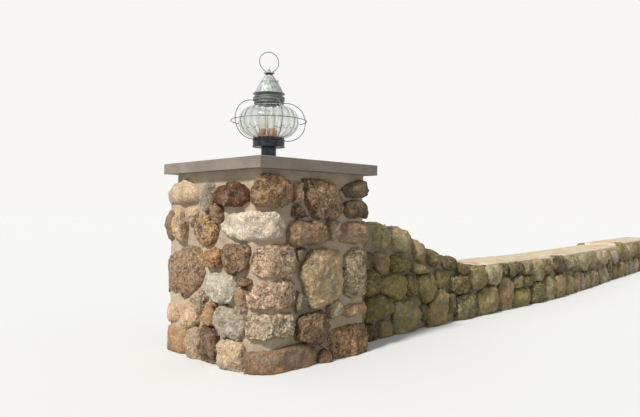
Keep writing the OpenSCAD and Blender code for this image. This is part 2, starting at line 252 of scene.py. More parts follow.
# Colours of the stones, as sRGB values out of 255
STONE_COLOURS = {
    "tan pink": (212, 188, 158),
    "pale pink": (222, 208, 190),
    "rust": (98, 58, 40),
    "slate grey": (166, 156, 140),
    "umber": (136, 110, 86),
    "tan": (206, 180, 146),
    "orange tan": (206, 166, 122),
    "tawny": (172, 142, 112),
    "orange": (190, 146, 104),
    "pitted brown": (152, 124, 98),
    "grey white": (198, 192, 176),
    "buff": (204, 184, 154),
    "grey tan": (172, 154, 126),
    "pink granite": (208, 178, 148),
    "dun": (172, 138, 102),
    "bluish": (122, 114, 100),
    "ochre grey": (188, 166, 128),
    "olive": (118, 110, 60),
    "olive yellow": (144, 133, 74),
    "moss grey": (136, 129, 84),
    "bark": (102, 90, 56),
    "sage": (144, 138, 96),
    "lichen tan": (156, 142, 94),
    "pale sage": (172, 162, 122),
    "rose tan": (154, 133, 94),
    "pale granite": (224, 194, 164),
    "cream": (226, 207, 174),
    "ash": (112, 102, 80),
    "peat": (90, 76, 54),
}

PIER_PALETTE = ["tan pink", "umber", "tan", "tawny", "grey tan", "pink granite", "dun", "slate grey", "buff"]
WALL_PALETTE = ["olive", "moss grey", "sage", "lichen tan", "bark", "olive yellow", "rose tan", "moss grey"]
FAR_PALETTE = ["lichen tan", "sage", "pale sage", "rose tan", "bark", "moss grey", "grey tan", "slate grey"]
COPING_PALETTE = ["pale sage", "grey tan", "sage", "lichen tan", "pale sage"]


def linear(colour):
    """A colour given as sRGB values out of 255, as the shaders take it."""
    return tuple((value / 255) ** 2.2 for value in colour) + (1,)


# Camera and light


def set_camera():
    data = bpy.data.cameras.new("camera")
    data.lens = CAMERA_LENS
    data.sensor_width = CAMERA_SENSOR
    camera = bpy.data.objects.new("camera", data)
    bpy.context.scene.collection.objects.link(camera)
    ahead = Vector((
        math.cos(CAMERA_RISE) * math.sin(CAMERA_HEADING),
        math.cos(CAMERA_RISE) * math.cos(CAMERA_HEADING),
        math.sin(CAMERA_RISE),
    ))
    camera.location = CAMERA_PLACE
    camera.rotation_mode = "QUATERNION"
    camera.rotation_quaternion = ahead.to_track_quat("-Z", "Y") @ Quaternion((0, 0, 1), CAMERA_ROLL)
    bpy.context.scene.camera = camera


def looked_at(nodes, links):
    """1 for what is seen straight, in a reflection or through glass, and 0 for what only gives light."""
    path = nodes.new("ShaderNodeLightPath")
    seen = path.outputs["Is Camera Ray"]
    for other in ("Is Transmission Ray", "Is Glossy Ray"):
        either = nodes.new("ShaderNodeMath")
        either.operation = "MAXIMUM"
        links.new(seen, either.inputs[0])
        links.new(path.outputs[other], either.inputs[1])
        seen = either.outputs[0]
    return seen


def set_light():
    """One soft sun, a sky that lights the shade, and a pale background that is only seen."""
    bpy.context.scene.view_settings.view_transform = "Standard"
    data = bpy.data.lights.new("sun", "SUN")
    data.energy = SUN_STRENGTH
    data.angle = SUN_SPREAD
    data.color = SUN_COLOUR
    sun = bpy.data.objects.new("sun", data)
    bpy.context.scene.collection.objects.link(sun)
    sun.rotation_mode = "QUATERNION"
    sun.rotation_quaternion = Vector(SUN_FROM).to_track_quat("Z", "Y")

    world = bpy.data.worlds.new("studio")
    bpy.context.scene.world = world
    world.use_nodes = True
    nodes, links = world.node_tree.nodes, world.node_tree.links
    sky = nodes["Background"]
    sky.inputs["Color"].default_value = SKY_COLOUR + (1,)
    sky.inputs["Strength"].default_value = SKY_STRENGTH
    seen = nodes.new("ShaderNodeBackground")
    seen.inputs["Color"].default_value = BACKGROUND_COLOUR + (1,)
    seen.inputs["Strength"].default_value = BACKGROUND
    blend = nodes.new("ShaderNodeMixShader")
    links.new(looked_at(nodes, links), blend.inputs["Fac"])
    links.new(sky.outputs[0], blend.inputs[1])
    links.new(seen.outputs[0], blend.inputs[2])
    links.new(blend.outputs[0], nodes["World Output"].inputs["Surface"])


# Finishes


class Finish:
    """A material being put together: its shader, and the patterns that follow the piece."""

    def __init__(self, name, roughness, metallic=0.0):
        self.material = bpy.data.materials.new(name)
        self.material.use_nodes = True
        self.nodes = self.material.node_tree.nodes
        self.links = self.material.node_tree.links
        self.shader = self.nodes["Principled BSDF"]
        self.shader.inputs["Roughness"].default_value = roughness
        self.shader.inputs["Metallic"].default_value = metallic
        self.where = self.nodes.new("ShaderNodeTexCoord").outputs["Object"]

    def put(self, value, socket):
        """Links an output to a socket, or sets the socket to a plain value or colour."""
        if hasattr(value, "is_linked"):
            self.links.new(value, socket)
        elif isinstance(value, (int, float)) and socket.type == "RGBA":
            socket.default_value = (value, value, value, 1)
        elif isinstance(value, tuple) and len(value) == 3 and socket.type == "RGBA":
            socket.default_value = value + (1,)
        else:
            socket.default_value = value

    def placed(self, stretch, shift):
        """The place on the piece, stretched, and shifted so that no two patterns fall together."""
        mapping = self.nodes.new("ShaderNodeMapping")
        mapping.inputs["Scale"].default_value = stretch
        mapping.inputs["Location"].default_value = (shift, shift * 0.7, shift * 0.4)
        self.links.new(self.where, mapping.inputs["Vector"])
        return mapping.outputs["Vector"]

    def clouds(self, size, detail=4, roughness=0.55, stretch=(1, 1, 1), shift=0.0):
        """A cloudy pattern whose lumps are about size metres across."""
        node = self.nodes.new("ShaderNodeTexNoise")
        node.inputs["Scale"].default_value = 1 / size
        node.inputs["Detail"].default_value = detail
        node.inputs["Roughness"].default_value = roughness
        self.links.new(self.placed(stretch, shift), node.inputs["Vector"])
        return node.outputs["Fac"]

    def span(self, value, low, high, to_low=0.0, to_high=1.0):
        """Carries a value from one range to another, held at both ends."""
        node = self.nodes.new("ShaderNodeMapRange")
        self.put(value, node.inputs["Value"])
        for name, number in (("From Min", low), ("From Max", high), ("To Min", to_low), ("To Max", to_high)):
            node.inputs[name].default_value = number
        return node.outputs["Result"]

    def patches(self, size, start, full, least=0.0, most=1.0, **pattern):
        """Clouds cut to patches: least where the clouds are under start, most where they are over full."""
        return self.span(self.clouds(size, **pattern), start, full, least, most)

    def combine(self, first, second, way="ADD"):
        node = self.nodes.new("ShaderNodeMath")
        node.operation = way
        self.put(first, node.inputs[0])
        self.put(second, node.inputs[1])
        return node.outputs[0]

    def times(self, value, by):
        return self.combine(value, by, "MULTIPLY")

    def mix(self, share, first, second, way="MIX"):
        """Blends two colours by a share."""
        node = self.nodes.new("ShaderNodeMix")
        node.data_type = "RGBA"
        node.blend_type = way
        self.put(share, node.inputs["Factor"])
        colours = [socket for socket in node.inputs if socket.type == "RGBA"]
        self.put(first, colours[0])
        self.put(second, colours[1])
        return next(socket for socket in node.outputs if socket.type == "RGBA")

    def tint(self, share, colour, by):
        """Multiplies a colour by another, as far as a share says."""
        return self.mix(share, colour, by, "MULTIPLY")

    def attribute(self, name):
        node = self.nodes.new("ShaderNodeVertexColor")
        node.layer_name = name
        return node.outputs["Color"]

    def around(self, middle, count):
        """Rises and falls a number of times round an upright axis, between -1 and 1."""
        shifted = self.nodes.new("ShaderNodeMapping")
        shifted.inputs["Location"].default_value = (-middle[0], -middle[1], 0)
        self.links.new(self.where, shifted.inputs["Vector"])
        turn = self.nodes.new("ShaderNodeTexGradient")
        turn.gradient_type = "RADIAL"
        self.links.new(shifted.outputs["Vector"], turn.inputs["Vector"])
        angle = self.times(turn.outputs["Fac"], count * 2 * math.pi)
        return self.combine(angle, 0.0, "COSINE")

    def height(self):
        """Height on the piece, as a value."""
        node = self.nodes.new("ShaderNodeSeparateXYZ")
        self.links.new(self.where, node.inputs[0])
        return node.outputs["Z"]

    def colour(self, value):
        self.put(value, self.shader.inputs["Base Color"])

    def roughness(self, value):
        self.put(value, self.shader.inputs["Roughness"])

    def bump(self, value, depth, strength=1.0):
        node = self.nodes.new("ShaderNodeBump")
        node.inputs["Strength"].default_value = strength
        node.inputs["Distance"].default_value = depth
        self.put(value, node.inputs["Height"])
        self.links.new(node.outputs["Normal"], self.shader.inputs["Normal"])


def fieldstone(name, pitted=False, mossy=0.0):
    """Stone whose own colour is written on it, with mottling, crust, grains and, if asked, pits darkened
    with painted shade, or moss.
    """
    finish = Finish(name, STONE_ROUGHNESS)
    colour = finish.attribute("stone_colour")
    mottle = finish.patches(0.060, start=0.32, full=0.68, least=0.64, most=1.32, detail=6, roughness=0.66)
    colour = finish.tint(1.0, colour, mottle)
    stain = finish.patches(0.080, start=0.46, full=0.64, most=0.42, detail=5, roughness=0.6, shift=3.1)
    colour = finish.mix(stain, colour, STAIN)
    crust = finish.patches(0.048, start=0.50, full=0.64, most=0.55, detail=7, roughness=0.68, shift=7.7)
    colour = finish.tint(crust, colour, CRUST)
    grey = finish.patches(0.050, start=0.52, full=0.66, most=0.42, detail=5, roughness=0.6, shift=11.3)
    colour = finish.mix(grey, colour, GREY)
    blotches = finish.patches(0.022, start=0.50, full=0.62, most=0.50, detail=5, roughness=0.7, shift=14.2)
    colour = finish.tint(blotches, colour, BLOTCH)
    grains = finish.clouds(0.0075, detail=4, roughness=0.7)
    colour = finish.tint(finish.span(grains, low=0.50, high=0.62, to_high=0.62), colour, GRAIN)
    crystals = finish.patches(0.0090, start=0.51, full=0.62, most=0.64, detail=3, roughness=0.6, shift=5.3)
    colour = finish.tint(crystals, colour, CRYSTAL)
    relief = finish.combine(finish.clouds(0.024, detail=9, roughness=0.68), finish.times(grains, -0.25))
    if pitted:
        large = finish.patches(0.020, start=0.54, full=0.62, detail=4, roughness=0.62, shift=1.7)
        small = finish.patches(0.0095, start=0.55, full=0.64, detail=3, roughness=0.6, shift=8.8)
        where = finish.patches(0.055, start=0.36, full=0.58, least=0.20, detail=3, roughness=0.5, shift=9.2)
        holes = finish.times(finish.combine(large, small, "MAXIMUM"), where)
        # Painted shade: the pits are darkened in colour as well as sunk by the bump
        colour = finish.tint(finish.times(holes, 0.80), colour, PIT_PAINTED_SHADE)
        relief = finish.combine(relief, finish.times(holes, 0.70), "SUBTRACT")
    if mossy:
        moss = finish.patches(0.090, start=0.45, full=0.62, most=mossy, detail=8, roughness=0.68, shift=2.4)
        colour = finish.mix(moss, colour, MOSS)
        lichen = finish.patches(0.030, start=0.56, full=0.68, most=0.60, detail=7, roughness=0.6, shift=6.6)
        colour = finish.mix(lichen, colour, LICHEN)
    finish.colour(colour)
    finish.roughness(finish.span(grains, low=0.3, high=0.7, to_low=0.92, to_high=0.74))
    finish.bump(relief, depth=0.018)
    return finish.material


def mortar(name, base, dark):
    """Sandy lime mortar, struck by hand, and damp near the ground."""
    finish = Finish(name, MORTAR_ROUGHNESS)
    tone = finish.patches(0.11, start=0.30, full=0.72, detail=5, roughness=0.6)
    colour = finish.mix(tone, dark, base)
    sand = finish.clouds(SAND, detail=2, roughness=0.5)
    colour = finish.tint(finish.span(sand, low=0.58, high=0.70, to_high=0.40), colour, DARK_SAND)
    colour = finish.mix(finish.span(sand, low=0.42, high=0.30, to_high=0.35), colour, PALE_SAND)
    damp = finish.span(finish.height(), low=0.0, high=DAMP_HEIGHT, to_low=0.45, to_high=0.0)
    finish.colour(finish.mix(damp, colour, DAMP))
    trowel = finish.clouds(0.034, detail=3, roughness=0.45, stretch=(1, 1, 1.8), shift=4.0)
    relief = finish.combine(finish.times(trowel, 0.8), finish.times(sand, 0.35))
    finish.bump(relief, depth=0.006, strength=0.8)
    return finish.material


# Masonry


class Face:
    """One face of masonry: where it starts, the way along it, and the way out of it."""

    def __init__(self, start, heading, side):
        self.turn = math.radians(heading)
        self.start = Vector((start[0], start[1], 0))
        self.along = Vector((math.cos(self.turn), math.sin(self.turn), 0))
        self.out = Vector((-math.sin(self.turn), math.cos(self.turn), 0)) * side

    def at(self, along, up, out=0.0):
        return self.start + self.along * along + self.out * out + Vector((0, 0, up))

    def way(self, along, up):
        return self.along * along + Vector((0, 0, up))


class Stone:
    """One stone: its outline on each face that it shows on, as left, right, low, high. For a corner
    stone, rounded and nip say how far its arris and the ends of that arris are taken off."""

    def __init__(self, colour, shown, pitted=False, proud=PROUD, deep=BEDDED, cuts=(),
                 rounded=0.0, nip=0.0, crisp=False):
        self.colour = colour
        self.shown = shown
        self.pitted = pitted
        self.proud = proud
        self.deep = deep
        self.cuts = list(cuts)
        self.rounded = rounded
        self.nip = nip
        self.crisp = crisp

    def corner_way(self):
        """The way out of a corner, midway between the two faces that meet there."""
        return (self.shown[0][0].out + self.shown[1][0].out).normalized()


def nearest(a_low, a_high, b_low, b_high):
    """The places on two ranges that are nearest to each other."""
    if a_high < b_low:
        return a_high, b_low
    if b_high < a_low:
        return a_low, b_high
    middle = (max(a_low, b_low) + min(a_high, b_high)) / 2
    return middle, middle


def clips(face, outline, corners, draw):
    """Cuts across the corners of an outline. A corner is 0 or 1 for its left or right and t or b
    for its top or bottom, with + or ! for a deeper cut, - or no word for a light one, and x leaves
    it whole."""
    left, right, low, high = outline
    wide, tall = right - left, high - low
    asked = {word[:2]: word[2:] for word in corners.split()}
    cuts = []
    for corner in ("0t", "1t", "0b", "1b"):
        mark = asked.get(corner, "-")
        if mark == "x":
            continue
        light = draw.uniform(*LIGHT_CLIP)
        share = CLIP_SHARES.get(mark, light)
        side = -1 if corner[0] == "0" else 1
        up = 1 if corner[1] == "t" else -1
        edge = left if side < 0 else right
        level = high if up > 0 else low
        way = Vector((side * tall, up * wide)).normalized()
        cuts.append((face.at(edge - side * share * wide, level), face.way(way.x, way.y)))
    return cuts


def joint_between(a, b):
    """Where stone a ends towards stone b on one face: a point and the way to b, or None if b is far."""
    round_a = CORE_SHARE * min(a[1] - a[0], a[3] - a[2])
    round_b = CORE_SHARE * min(b[1] - b[0], b[3] - b[2])
    ax, bx = nearest(a[0] + round_a, a[1] - round_a, b[0] + round_b, b[1] - round_b)
    az, bz = nearest(a[2] + round_a, a[3] - round_a, b[2] + round_b, b[3] - round_b)
    dx, dz = bx - ax, bz - az
    apart = math.hypot(dx, dz)
    if apart < CORES_TOUCH:
        ax, az = (a[0] + a[1]) / 2, (a[2] + a[3]) / 2
        dx, dz = (b[0] + b[1]) / 2 - ax, (b[2] + b[3]) / 2 - az
        apart = math.hypot(dx, dz)
    gap = apart - round_a - round_b
    if gap > REACH:
        return None
    dx, dz = dx / apart, dz / apart
    reach = apart * round_a / (round_a + round_b) if gap < 0 else round_a + gap / 2
    reach -= JOINT / 2
    return (ax + dx * reach, az + dz * reach), (dx, dz)


def joints_of(stone, all_stones):
    """The cuts that part a stone from every stone that it meets on the same face."""
    cuts = []
    for face, outline in stone.shown:
        for other in all_stones:
            if other is stone:
                continue
            for other_face, other_outline in other.shown:
                if other_face is not face:
                    continue
                joint = joint_between(outline, other_outline)
                if joint:
                    (along, up), (way_along, way_up) = joint
                    cuts.append((face.at(along, up), face.way(way_along, way_up)))
    return cuts


def outline_cuts(stone):
    """The cuts to the upright and level sides of a stone's outlines. The lowest has none below."""
    cuts = []
    for face, (left, right, low, high) in stone.shown:
        cuts.append((face.at(0, high), Vector((0, 0, 1))))
        if low > 0:
            cuts.append((face.at(0, low), Vector((0, 0, -1))))
        cuts.append((face.at(left, 0), -face.along))
        cuts.append((face.at(right, 0), face.along))
    return cuts


def face_boulder(stone, draw):
    """Middle, size, turn and cuts of the boulder for a stone that shows on one face."""
    face, (left, right, low, high) = stone.shown[0]
    cuts = outline_cuts(stone)
    fuller = draw.uniform(*FACE_FULLER)
    wide, tall = right - left, high - low
    crown = min(CROWN, CROWN_SHARE * min(wide, tall)) + stone.proud
    half_depth = min(max(DEPTH_SHARE * min(wide, tall), DEPTH_RANGE[0]), DEPTH_RANGE[1])
    if stone.deep > BEDDED:
        half_depth = (stone.deep * THROUGH_FULLER + crown) / 2
    cuts.append((face.at(0, 0, -stone.deep), -face.out))
    middle = face.at((left + right) / 2, (low + high) / 2, crown - half_depth)
    return middle, (wide * fuller, 2 * half_depth, tall * fuller), face.turn, cuts


def corner_boulder(stone, draw):
    """Middle, size, turn and cuts of the boulder for a stone that turns a corner."""
    face, (_, _, low, high) = stone.shown[0]
    cuts = outline_cuts(stone)
    points = []
    for shown_face, (start, end, _, _) in stone.shown:
        points += [shown_face.at(start, 0, stone.proud), shown_face.at(end, 0, stone.proud)]
        cuts.append((shown_face.at(0, 0, stone.proud + CORNER_SLACK), shown_face.out))
    along = [(point - face.start).dot(face.along) for point in points]
    out = [(point - face.start).dot(face.out) for point in points]
    middle = face.at((min(along) + max(along)) / 2, (low + high) / 2, (min(out) + max(out)) / 2)
    # An upright cut near the middle or past it would take most of the stone, so it isn't made
    cuts = [cut for cut in cuts if abs(cut[1].z) > 0.5 or (middle - cut[0]).dot(cut[1]) < -CUT_OFF_MIDDLE]
    outer = stone.corner_way()
    edge = max(abs((point - middle).dot(outer)) for point in points)
    cuts.append((middle + outer * (edge - stone.rounded), outer))
    for level, up in ((high, 1), (low, -1)):
        if level > 0:
            end = middle + outer * (edge - stone.nip)
            cuts.append((Vector((end.x, end.y, level)), outer + Vector((0, 0, up))))
    fuller = draw.uniform(*CORNER_FULLER)
    size = ((max(along) - min(along)) * fuller, (max(out) - min(out)) * fuller, (high - low) * fuller)
    return middle, size, face.turn, cuts


def start_stones(name, materials):
    """An empty piece in edit mode, with its finishes and room for each stone's own colour."""
    bpy.ops.object.select_all(action="DESELECT")
    bpy.ops.mesh.primitive_cube_add(size=0.01)
    piece = bpy.context.object
    piece.name = piece.data.name = name
    for material in materials:
        piece.data.materials.append(material)
    own = piece.data.color_attributes.new("stone_colour", "FLOAT_COLOR", "POINT")
    piece.data.attributes.active = own
    piece.vertex_groups.new(name="pitted")
    bpy.ops.object.mode_set(mode="EDIT")
    bpy.ops.mesh.select_all(action="SELECT")
    bpy.ops.mesh.delete(type="VERT")
    return piece


def cut_stone(piece, stone, cuts):
    """Cuts the boulder in hand to its outline and joints, welds the slivers and lifts its flats."""
    for place, way in cuts:
        block = bmesh.from_edit_mesh(piece.data)
        if max((v.co - place).dot(way) for v in block.verts if not v.hide) < CUT_LEAST * way.length:
            continue
        bpy.ops.mesh.select_all(action="SELECT")
        bpy.ops.mesh.bisect(plane_co=place, plane_no=way, use_fill=True, clear_outer=True)
    bpy.ops.mesh.select_all(action="SELECT")
    bpy.ops.mesh.remove_doubles(threshold=WELD)
    bpy.ops.mesh.normals_make_consistent(inside=False)
    if stone.crisp:
        keep_crisp(piece, stone.corner_way())
    bpy.ops.mesh.select_face_by_sides(number=4, type="GREATER", extend=False)
    bpy.ops.mesh.poke(offset=FLATS_LIFTED)
    bpy.ops.mesh.select_all(action="SELECT")


def keep_crisp(piece, way):
    """Holds the edge round the flat that looks a given way, so that rounding leaves it a clear arris."""
    block = bmesh.from_edit_mesh(piece.data)
    for face in block.faces:
        if not face.hide:
            face.select_set(face.normal.dot(way) > FLAT_FACING)
    bpy.ops.mesh.region_to_loop()
    bpy.ops.transform.edge_crease(value=ARRIS_CREASE)
    bpy.ops.mesh.select_all(action="SELECT")


def colour_stone(piece, stone, tint):
    """Writes the stone's own colour on it and gives it the plain or the pitted finish."""
    red, green, blue, _ = linear(STONE_COLOURS[stone.colour])
    bpy.ops.mesh.attribute_set(value_color=(red * tint, green * tint, blue * tint, 1))
    if stone.pitted:
        bpy.ops.object.vertex_group_assign()
    piece.active_material_index = 1 if stone.pitted else 0
    bpy.ops.object.material_slot_assign()


def round_stones(piece, levels):
    """Rounds the cut stones and roughens them, from knobs down to grain, with pits where asked."""
    rounded = piece.modifiers.new("rounded", "SUBSURF")
    rounded.levels = rounded.render_levels = levels
    roughen(piece, "knobs", size=0.060, strength=0.026)
    roughen(piece, "crags", size=0.026, strength=0.010, kind="HARD_NOISE")
    if levels > 1:
        roughen(piece, "grain", size=0.010, strength=0.005)
    pits = roughen(piece, "pits", size=0.014, strength=0.008, kind="HARD_NOISE")
    pits.vertex_group = "pitted"
    apply_all(piece)
    piece.vertex_groups.clear()
    cut_foot(piece)
    bpy.ops.object.shade_smooth()


def lay_stones(name, stones, all_stones, materials, levels, seed):
    """Cuts and rounds a group of stones, all in one mesh. all_stones are those that they may meet.
    Each stone is hidden when it is done, so that the next is worked on alone."""
    piece = start_stones(name, materials)
    draw = random.Random(seed)
    for number, stone in enumerate(stones):
        boulder = face_boulder if len(stone.shown) == 1 else corner_boulder
        middle, size, turn, cuts = boulder(stone, draw)
        bpy.ops.mesh.primitive_ico_sphere_add(
            subdivisions=3 if max(size) > FINER_OVER else 2, radius=0.5,
            location=middle, rotation=(0, 0, turn), scale=size)
        cut_stone(piece, stone, cuts + stone.cuts + joints_of(stone, all_stones))
        bpy.ops.transform.vertex_random(offset=LUMP, seed=seed + number)
        colour_stone(piece, stone, draw.uniform(*TINT))
        bpy.ops.mesh.hide(unselected=False)
    bpy.ops.mesh.reveal()
    bpy.ops.object.mode_set(mode="OBJECT")
    round_stones(piece, levels)
    return piece


def cut_foot(piece):
    """Cuts off all that lies below the ground, flat on the ground."""
    bpy.ops.object.mode_set(mode="EDIT")
    bpy.ops.mesh.select_all(action="SELECT")
    bpy.ops.mesh.bisect(plane_co=(0, 0, 0), plane_no=(0, 0, -1), use_fill=True, clear_outer=True)
    bpy.ops.object.mode_set(mode="OBJECT")


def roughen(piece, name, size, strength, kind="SOFT_NOISE"):
    """Pushes the surface in and out with clouds of about the given size."""
    if name not in bpy.data.textures:
        texture = bpy.data.textures.new(name, "CLOUDS")
        texture.noise_scale = size
        texture.noise_depth = 2
        texture.noise_type = kind
    push = piece.modifiers.new(name, "DISPLACE")
    push.texture = bpy.data.textures[name]
    push.texture_coords = "LOCAL"
    push.strength = strength
    push.mid_level = 0.5
    return push


def apply_all(piece):
    bpy.ops.object.select_all(action="DESELECT")
    piece.select_set(True)
    bpy.context.view_layer.objects.active = piece
    for modifier in list(piece.modifiers):
        bpy.ops.object.modifier_apply(modifier=modifier.name)


def settle(piece, slot, *nodes):
    """The piece rides on the one body and stands for CAD nodes, which are hidden. Its slot is not used."""
    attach(piece, "root")
    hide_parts(*nodes)


def copy_of(name, *nodes):
    """One merged mesh made from copies of CAD nodes."""
    bpy.ops.object.select_all(action="DESELECT")
    copies = []
    for node in nodes:
        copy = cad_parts[node].copy()
        copy.data = copy.data.copy()
        copy.parent = None
        copy.hide_render = copy.hide_viewport = False
        for key in list(copy.keys()):
            del copy[key]
        bpy.context.scene.collection.objects.link(copy)
        copies.append(copy)
    for copy in copies:
        copy.select_set(True)
    bpy.context.view_layer.objects.active = copies[0]
    if len(copies) > 1:
        bpy.ops.object.join()
    piece = bpy.context.object
    piece.name = piece.data.name = name
    bpy.ops.object.mode_set(mode="EDIT")
    bpy.ops.mesh.select_all(action="SELECT")
    bpy.ops.mesh.remove_doubles(threshold=0.0002)
    bpy.ops.object.mode_set(mode="OBJECT")
    return piece


def choose_points(piece, wanted):
    """Leaves selected only the points that pass a test, for the next step in edit mode."""
    for polygon in piece.data.polygons:
        polygon.select = False
    for edge in piece.data.edges:
        edge.select = False
    for vertex in piece.data.vertices:
        vertex.select = wanted(vertex)


def move_points(piece, wanted, rise):
    """Moves the points that pass a test straight up, or down where rise is below zero."""
    choose_points(piece, wanted)
    bpy.ops.object.mode_set(mode="EDIT")
    bpy.ops.transform.translate(value=(0, 0, rise))
    bpy.ops.object.mode_set(mode="OBJECT")


def lengthen(piece, by):
    """Moves the flat foot of a piece down."""
    lowest = min(vertex.co.z for vertex in piece.data.vertices)
    move_points(piece, lambda vertex: vertex.co.z < lowest + FOOT_FLAT, -by)


def raise_top(piece, by, side):
    """Lifts the faces that look up and lie above RAISED_OVER. They, and all that lies above the
    height side, get the second finish, which is painted sunlight against the painted shade of the first."""
    move_points(piece, lambda vertex: vertex.co.z > RAISED_OVER and vertex.normal.z > LOOKS_UP, by)
    choose_points(piece, lambda vertex: vertex.co.z > RAISED_OVER
                  and (vertex.normal.z > LOOKS_UP or vertex.co.z > side))
    bpy.ops.object.mode_set(mode="EDIT")
    piece.active_material_index = 1
    bpy.ops.object.material_slot_assign()
    bpy.ops.object.mode_set(mode="OBJECT")


def shape_pier_corners(core):
    """Takes the mortar back at the pier's front corner, where the stones are set across it, and
    brings it out at the left-hand back corner, where it stands flush between them."""
    inset = FRONT_CORNER_CUT / math.sqrt(2) - PIER_HALF
    flush = PIER_HALF + MORTAR_RECESS - CORNER_POST / 2
    bpy.ops.object.mode_set(mode="EDIT")
    bpy.ops.mesh.select_all(action="SELECT")
    bpy.ops.mesh.bisect(plane_co=(inset, inset, 0), plane_no=(-1, -1, 0), use_fill=True, clear_outer=True)
    bpy.ops.mesh.primitive_cube_add(
        size=1, location=(-flush, flush, CORNER_POST_TOP / 2),
        scale=(CORNER_POST, CORNER_POST, CORNER_POST_TOP))
    bpy.ops.object.mode_set(mode="OBJECT")


def mortar_core(name, nodes, finishes, voxel, rough, recess=MORTAR_RECESS, raised=0, side=math.inf,
                shape=None):
    """The mortar that the stones are bedded in: the CAD solids, drawn back and made uneven."""
    core = copy_of(name, *nodes)
    if shape:
        shape(core)
    core.data.materials.clear()
    for finish in finishes:
        core.data.materials.append(finish)
    lengthen(core, recess + FOOT_SPARE)
    remesh = core.modifiers.new("even", "REMESH")
    remesh.mode = "VOXEL"
    remesh.voxel_size = voxel
    if recess:
        draw_back = core.modifiers.new("recess", "DISPLACE")
        draw_back.mid_level = 0
        draw_back.strength = -recess
    roughen(core, "struck", size=0.060, strength=rough)
    roughen(core, "rough", size=0.022, strength=rough * 0.35)
    apply_all(core)
    cut_foot(core)
    if raised:
        raise_top(core, raised, side)
    bpy.ops.object.shade_smooth_by_angle(angle=MORTAR_EDGE)
    settle(core, "mortar", *nodes)


def in_metres(outline):
    """An outline measured in millimetres, let out for the rounding. The lowest stones go on below
    the ground until their foot is cut."""
    left, right, low, high = (value * MM for value in outline)
    foot = low - SWELL if low > LOWEST else FOOT
    return left - SWELL, right + SWELL, foot, min(high + SWELL, STONE_TOP)


LEFT = Face((-PIER_HALF, -PIER_HALF), 90, 1)
FRONT = Face((-PIER_HALF, -PIER_HALF), 0, -1)
RIGHT = Face((PIER_HALF, -PIER_HALF), 90, -1)
BACK = Face((-PIER_HALF, PIER_HALF), 0, 1)

# Pier stones: left, right, low and high in millimetres, measured from where the face starts; then
# the colour, whether it is pitted, and its clipped corners
LEFT_STONES = [
    ((352, 440, 684, 816), "slate grey", False, "0t 1t 1b! 0b"),
    ((92, 338, 702, 812), "rust", True, "0b+ 0t 1t+ 1b+"),
    ((278, 348, 650, 730), "umber", False, "0t! 1b!"),
    ((542, 662, 554, 714), "tan", False, "1t 0b"),
    ((314, 486, 546, 692), "orange tan", True, "0t 1t 0b 1b"),
    ((290, 394, 428, 514), "orange", True, "1b"),
    ((76, 262, 408, 546), "pitted brown", True, "0b! 1b 0t- 1t-"),
    ((158, 394, 289, 426), "grey white", False, "0t 1t 0b 1b"),
    ((96, 160, 262, 380), "tawny", False, "1b 1t"),
    ((390, 504, 226, 322), "buff", True, "1t! 0b"),
    ((316, 404, 172, 270), "dun", False, "1t 0b"),
    ((104, 330, 130, 260), "slate grey", False, "1b 0b 1t"),
    ((486, 600, 138, 240), "pink granite", False, "0t 1b"),
    ((106, 280, 4, 128), "tan pink", False, "1t"),
    ((288, 420, 4, 164), "umber", True, ""),
    ((428, 540, 4, 140), "grey tan", False, "0t"),
]
FRONT_STONES = [
    ((204, 240, 732, 804), "grey tan", False, "1b"),
    ((198, 264, 674, 726), "umber", True, "1b"),
    ((228, 496, 652, 828), "tawny", True, "0b! 0t- 1t 1b"),
    ((155, 404, 523, 660), "pitted brown", False, "0b 0t 1t+ 1b+"),
    ((410, 472, 574, 652), "grey tan", False, ""),
    ((196, 508, 224, 562), "ochre grey", False, "0t- 0b 1b"),
    ((206, 262, 258, 330), "bluish", False, "1t!"),
    ((206, 252, 486, 536), "bluish", False, "1b!"),
    ((208, 414, 32, 252), "pitted brown", True, "0b! 0t 1t 1b-"),
    ((424, 482, 204, 268), "grey tan", False, ""),
    ((356, 404, 4, 40), "umber", False, "0t"),
]
LEFT_CHIPS = [
    ((496, 572, 642, 722), "buff", False, "0t 1b+"),
    ((72, 146, 354, 400), "umber", True, "0b"),
]
# Corner stones: the outline on one face and on the next, the colour, pitted, and clipped corners on each
FRONT_CORNER = [
    ((0, 52, 712, 848), (0, 178, 712, 848), "dun", True, "1t!", "1t 1b"),
    ((0, 292, 566, 711), (0, 150, 566, 711), "pale pink", False, "1t! 1b+", "1t! 1b+"),
    ((0, 60, 407, 555), (0, 226, 407, 555), "pale granite", True, "1tx 1bx", "1t 1b"),
    ((0, 84, 276, 389), (0, 224, 276, 389), "pale granite", True, "1tx 1bx", "1t 1b"),
    ((0, 88, 118, 256), (0, 194, 126, 246), "cream", True, "1t 1b", "1b"),
    ((0, 98, 4, 92), (0, 344, 4, 152), "umber", False, "1t", "1t!"),
]
RIGHT_CORNER = [
    ((536, 704, 764, 830), (0, 200, 764, 830), "ash", False, "0t 0b", "1t"),
    ((532, 704, 660, 758), (0, 260, 660, 758), "peat", False, "0b", ""),
    ((474, 704, 540, 652), (0, 170, 540, 652), "tawny", False, "0t 0b", "1b"),
    ((510, 704, 252, 534), (0, 180, 252, 534), "buff", True, "0t 0b", ""),
    ((520, 704, 168, 248), (0, 180, 168, 248), "tawny", False, "0b+ 0t", "1t"),
    ((404, 704, 4, 234), (0, 180, 4, 150), "dun", True, "0t- 1t+", ""),
]
